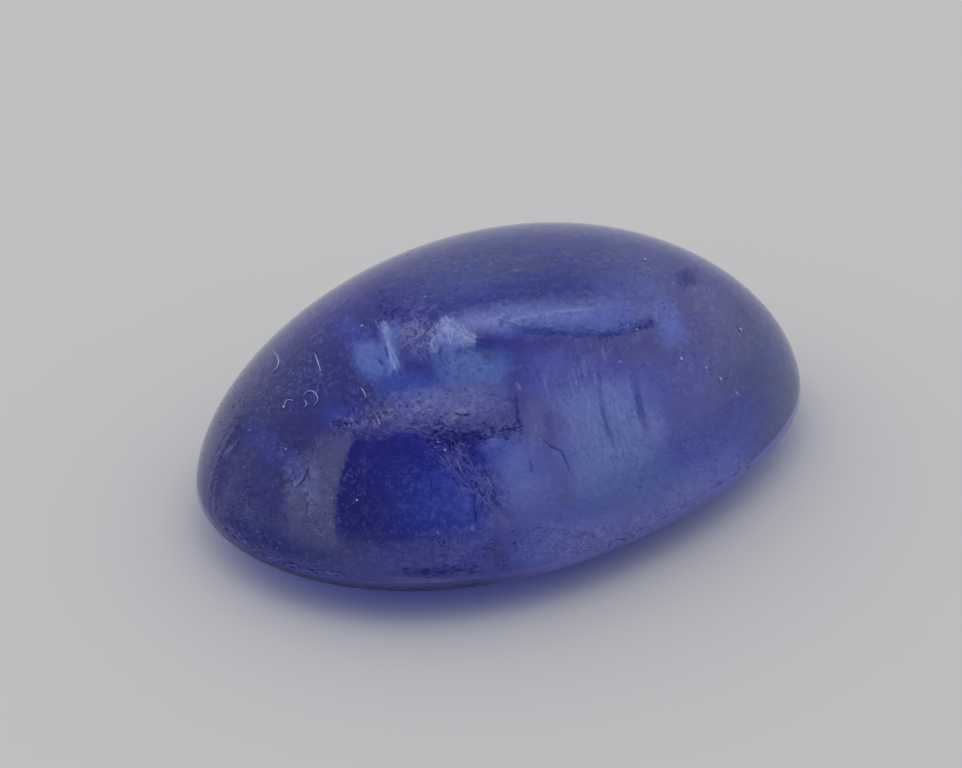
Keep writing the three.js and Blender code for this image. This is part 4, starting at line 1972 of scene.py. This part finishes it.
@dataclass
class LightTent:
    """The bright cloth round the stone, with its lamps and the dark gap for the eye.

    What shines in the polish is the tent with its panels. What lights matt surfaces is the same
    tent's even glow, a little stronger from behind the stone.
    """

    sight: Sight
    cloth: float = 0.44
    floor_level: float = 0.50
    floor_ends: Span = (-0.02, 0.34)  # the height of a unit direction
    glow: float = 0.50
    glow_above: float = 0.60
    glow_behind: float = 0.60
    glow_left: float = 0.12
    panels: tuple[Panel, ...] = (
        Panel(
            level=0.9,
            corners=(Bearing(20, -30), Bearing(30, 50), Bearing(150, 60), Bearing(160, -30)),
            softness=(0.35, 0.35, 0.35, 0.35)),
        Panel(
            level=0.9,
            corners=(Bearing(-40, 58), Bearing(0, 50), Bearing(70, 30), Bearing(75, 45), Bearing(0, 67)),
            softness=(0.15, 0.15, 0.15, 0.15, 0.15)),
        Panel(
            level=0.9,
            corners=(Bearing(-128, 62), Bearing(-150, 0), Bearing(-118, 0), Bearing(-95, 50)),
            softness=(0.05, 0.10, 0.12, 0.05)),
        Panel(
            level=1.0,
            corners=(Bearing(-113, 60), Bearing(-90, 78), Bearing(100, 74), Bearing(144, 56)),
            softness=(0.06, 0.06, 0.06, 0.06)),
        Panel(
            level=0.2,
            corners=(Bearing(-113, 60), Bearing(-146, 12), Bearing(150, 10), Bearing(142, 56)),
            softness=(0.015, 0.20, 0.08, 0.02)),
    )

    def build(self) -> bpy.types.World:
        """Make the world's light.

        Returns:
            The world.
        """
        world = bpy.data.worlds.new("light_tent")
        world.use_nodes = True
        world.node_tree.nodes.clear()
        nodes = Nodes(world.node_tree)
        out = nodes.add("ShaderNodeOutputWorld")
        where = nodes.add("ShaderNodeTexCoord").outputs["Generated"]
        up = nodes.parts(where)["Z"]
        shone = nodes.shader("ShaderNodeBackground", WHITE, Strength=self._shone(nodes, where, up))
        lit = nodes.shader("ShaderNodeBackground", WHITE, Strength=self._lit(nodes, where, up))
        path = nodes.add("ShaderNodeLightPath")
        seen = nodes.maths("MAXIMUM", path.outputs["Is Glossy Ray"], path.outputs["Is Transmission Ray"])
        seen = nodes.maths("MAXIMUM", seen, path.outputs["Is Camera Ray"])
        nodes.put(out.inputs["Surface"], nodes.shader_mix(seen, lit, shone))
        bpy.context.scene.world = world
        return world

    def _shone(self, nodes: Nodes, where: Socket, up: Socket) -> Socket:
        """Work out how bright the tent is where the polish mirrors it.

        Args:
            nodes: The world's nodes.
            where: The direction looked at.
            up: How steep it is.

        Returns:
            The strength's output socket.
        """
        level: Socket | float = self.cloth
        for panel in self.panels:
            level = nodes.number_mix(panel.mask(nodes, where, self.sight), level, panel.level)
        return nodes.number_mix(nodes.ramp(up, *self.floor_ends), self.floor_level, level)

    def _lit(self, nodes: Nodes, where: Socket, up: Socket) -> Socket:
        """Work out how strongly the tent lights matt surfaces.

        Args:
            nodes: The world's nodes.
            where: The direction that the light comes from.
            up: How steep it is.

        Returns:
            The strength's output socket.
        """
        behind = nodes.vector("DOT_PRODUCT", where, self.sight.ahead).outputs["Value"]
        aside = nodes.vector("DOT_PRODUCT", where, self.sight.right).outputs["Value"]
        soft = nodes.maths("ADD", self.glow, nodes.maths("MULTIPLY", behind, self.glow_behind))
        soft = nodes.maths("SUBTRACT", soft, nodes.maths("MULTIPLY", aside, self.glow_left))
        above = nodes.maths("MULTIPLY", nodes.maths("MAXIMUM", up, 0.0), self.glow_above)
        return nodes.maths("ADD", nodes.maths("MAXIMUM", soft, 0.0), above)


@dataclass
class Ground:
    """A plain pale ground."""

    colour: Colour = (0.585, 0.585, 0.595)
    half_side: float = 2.0
    below: float = 0.005 * MM

    def build(self) -> bpy.types.Object:
        """Make the ground as a stage piece, a hair below the stone's flat.

        Returns:
            The ground.
        """
        bm = bmesh.new()
        bmesh.ops.create_grid(bm, x_segments=1, y_segments=1, size=self.half_side)
        bmesh.ops.translate(bm, verts=bm.verts, vec=(0, 0, -self.below))
        ground = link_mesh("ground", bm)
        material, nodes, out = new_material("pale_ground")
        nodes.put(out.inputs["Surface"], nodes.shader("ShaderNodeBsdfDiffuse", self.colour))
        ground.data.materials.append(material)
        return ground


@dataclass(frozen=True)
class LightPaths:
    """How far light is followed, and how its colours are shown."""

    bounces: int = 12
    in_stone: int = 12
    clear_sheets: int = 24
    view: str = "Standard"

    def apply(self, scene: bpy.types.Scene) -> None:
        """Give a scene these settings.

        Args:
            scene: The scene.
        """
        scene.view_settings.view_transform = self.view
        scene.cycles.caustics_refractive = False
        scene.cycles.caustics_reflective = False
        scene.cycles.max_bounces = self.bounces
        scene.cycles.transmission_bounces = self.in_stone
        scene.cycles.transparent_max_bounces = self.clear_sheets


def keep(piece: bpy.types.Object) -> None:
    """Fix a piece to the stone's body and report it.

    Args:
        piece: The piece.
    """
    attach(piece, BODY)
    LOG.info("%s: %d faces", piece.name, len(piece.data.polygons))


def lay_growths(sight: Sight, effects: Effects) -> None:
    """Lay all that lies inside the stone, one piece to each kind of growth in a group.

    Args:
        sight: Casts the growths' pixels into the stone.
        effects: The shared effects.
    """
    number = 0
    for (name, kind), growths in GROWTHS.items():
        sheets = Sheets(sight)
        for growth in growths:
            number += 1
            growth.add_to(sheets, number)
        keep(sheets.finish(f"{name}_{kind.value}", kind, effects))


def main() -> None:
    """Build the stone and its surroundings, and report each piece."""
    logging.basicConfig(level=logging.INFO, format="%(name)s: %(message)s")
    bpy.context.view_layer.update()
    low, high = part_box(NODE)
    form = StoneForm(low=Vector(low), high=Vector(high))
    sight = Sight(form)
    sight.make_camera()
    effects = Effects()

    skin = Skin(form, PolishedTanzanite(scuffs=SCUFFS)).build(effects, sight)
    keep(skin)
    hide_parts(NODE)
    keep(Underside(form, LappedUnderside()).build(effects))
    keep(ScuffedFilm(form, FineScuffs(scuffs=SCUFFS)).build(effects, sight))
    lay_growths(sight, effects)
    keep(Lint().build(sight))

    Ground().build()
    LightTent(sight).build()
    LightPaths().apply(bpy.context.scene)


if __name__ == "__main__":
    main()
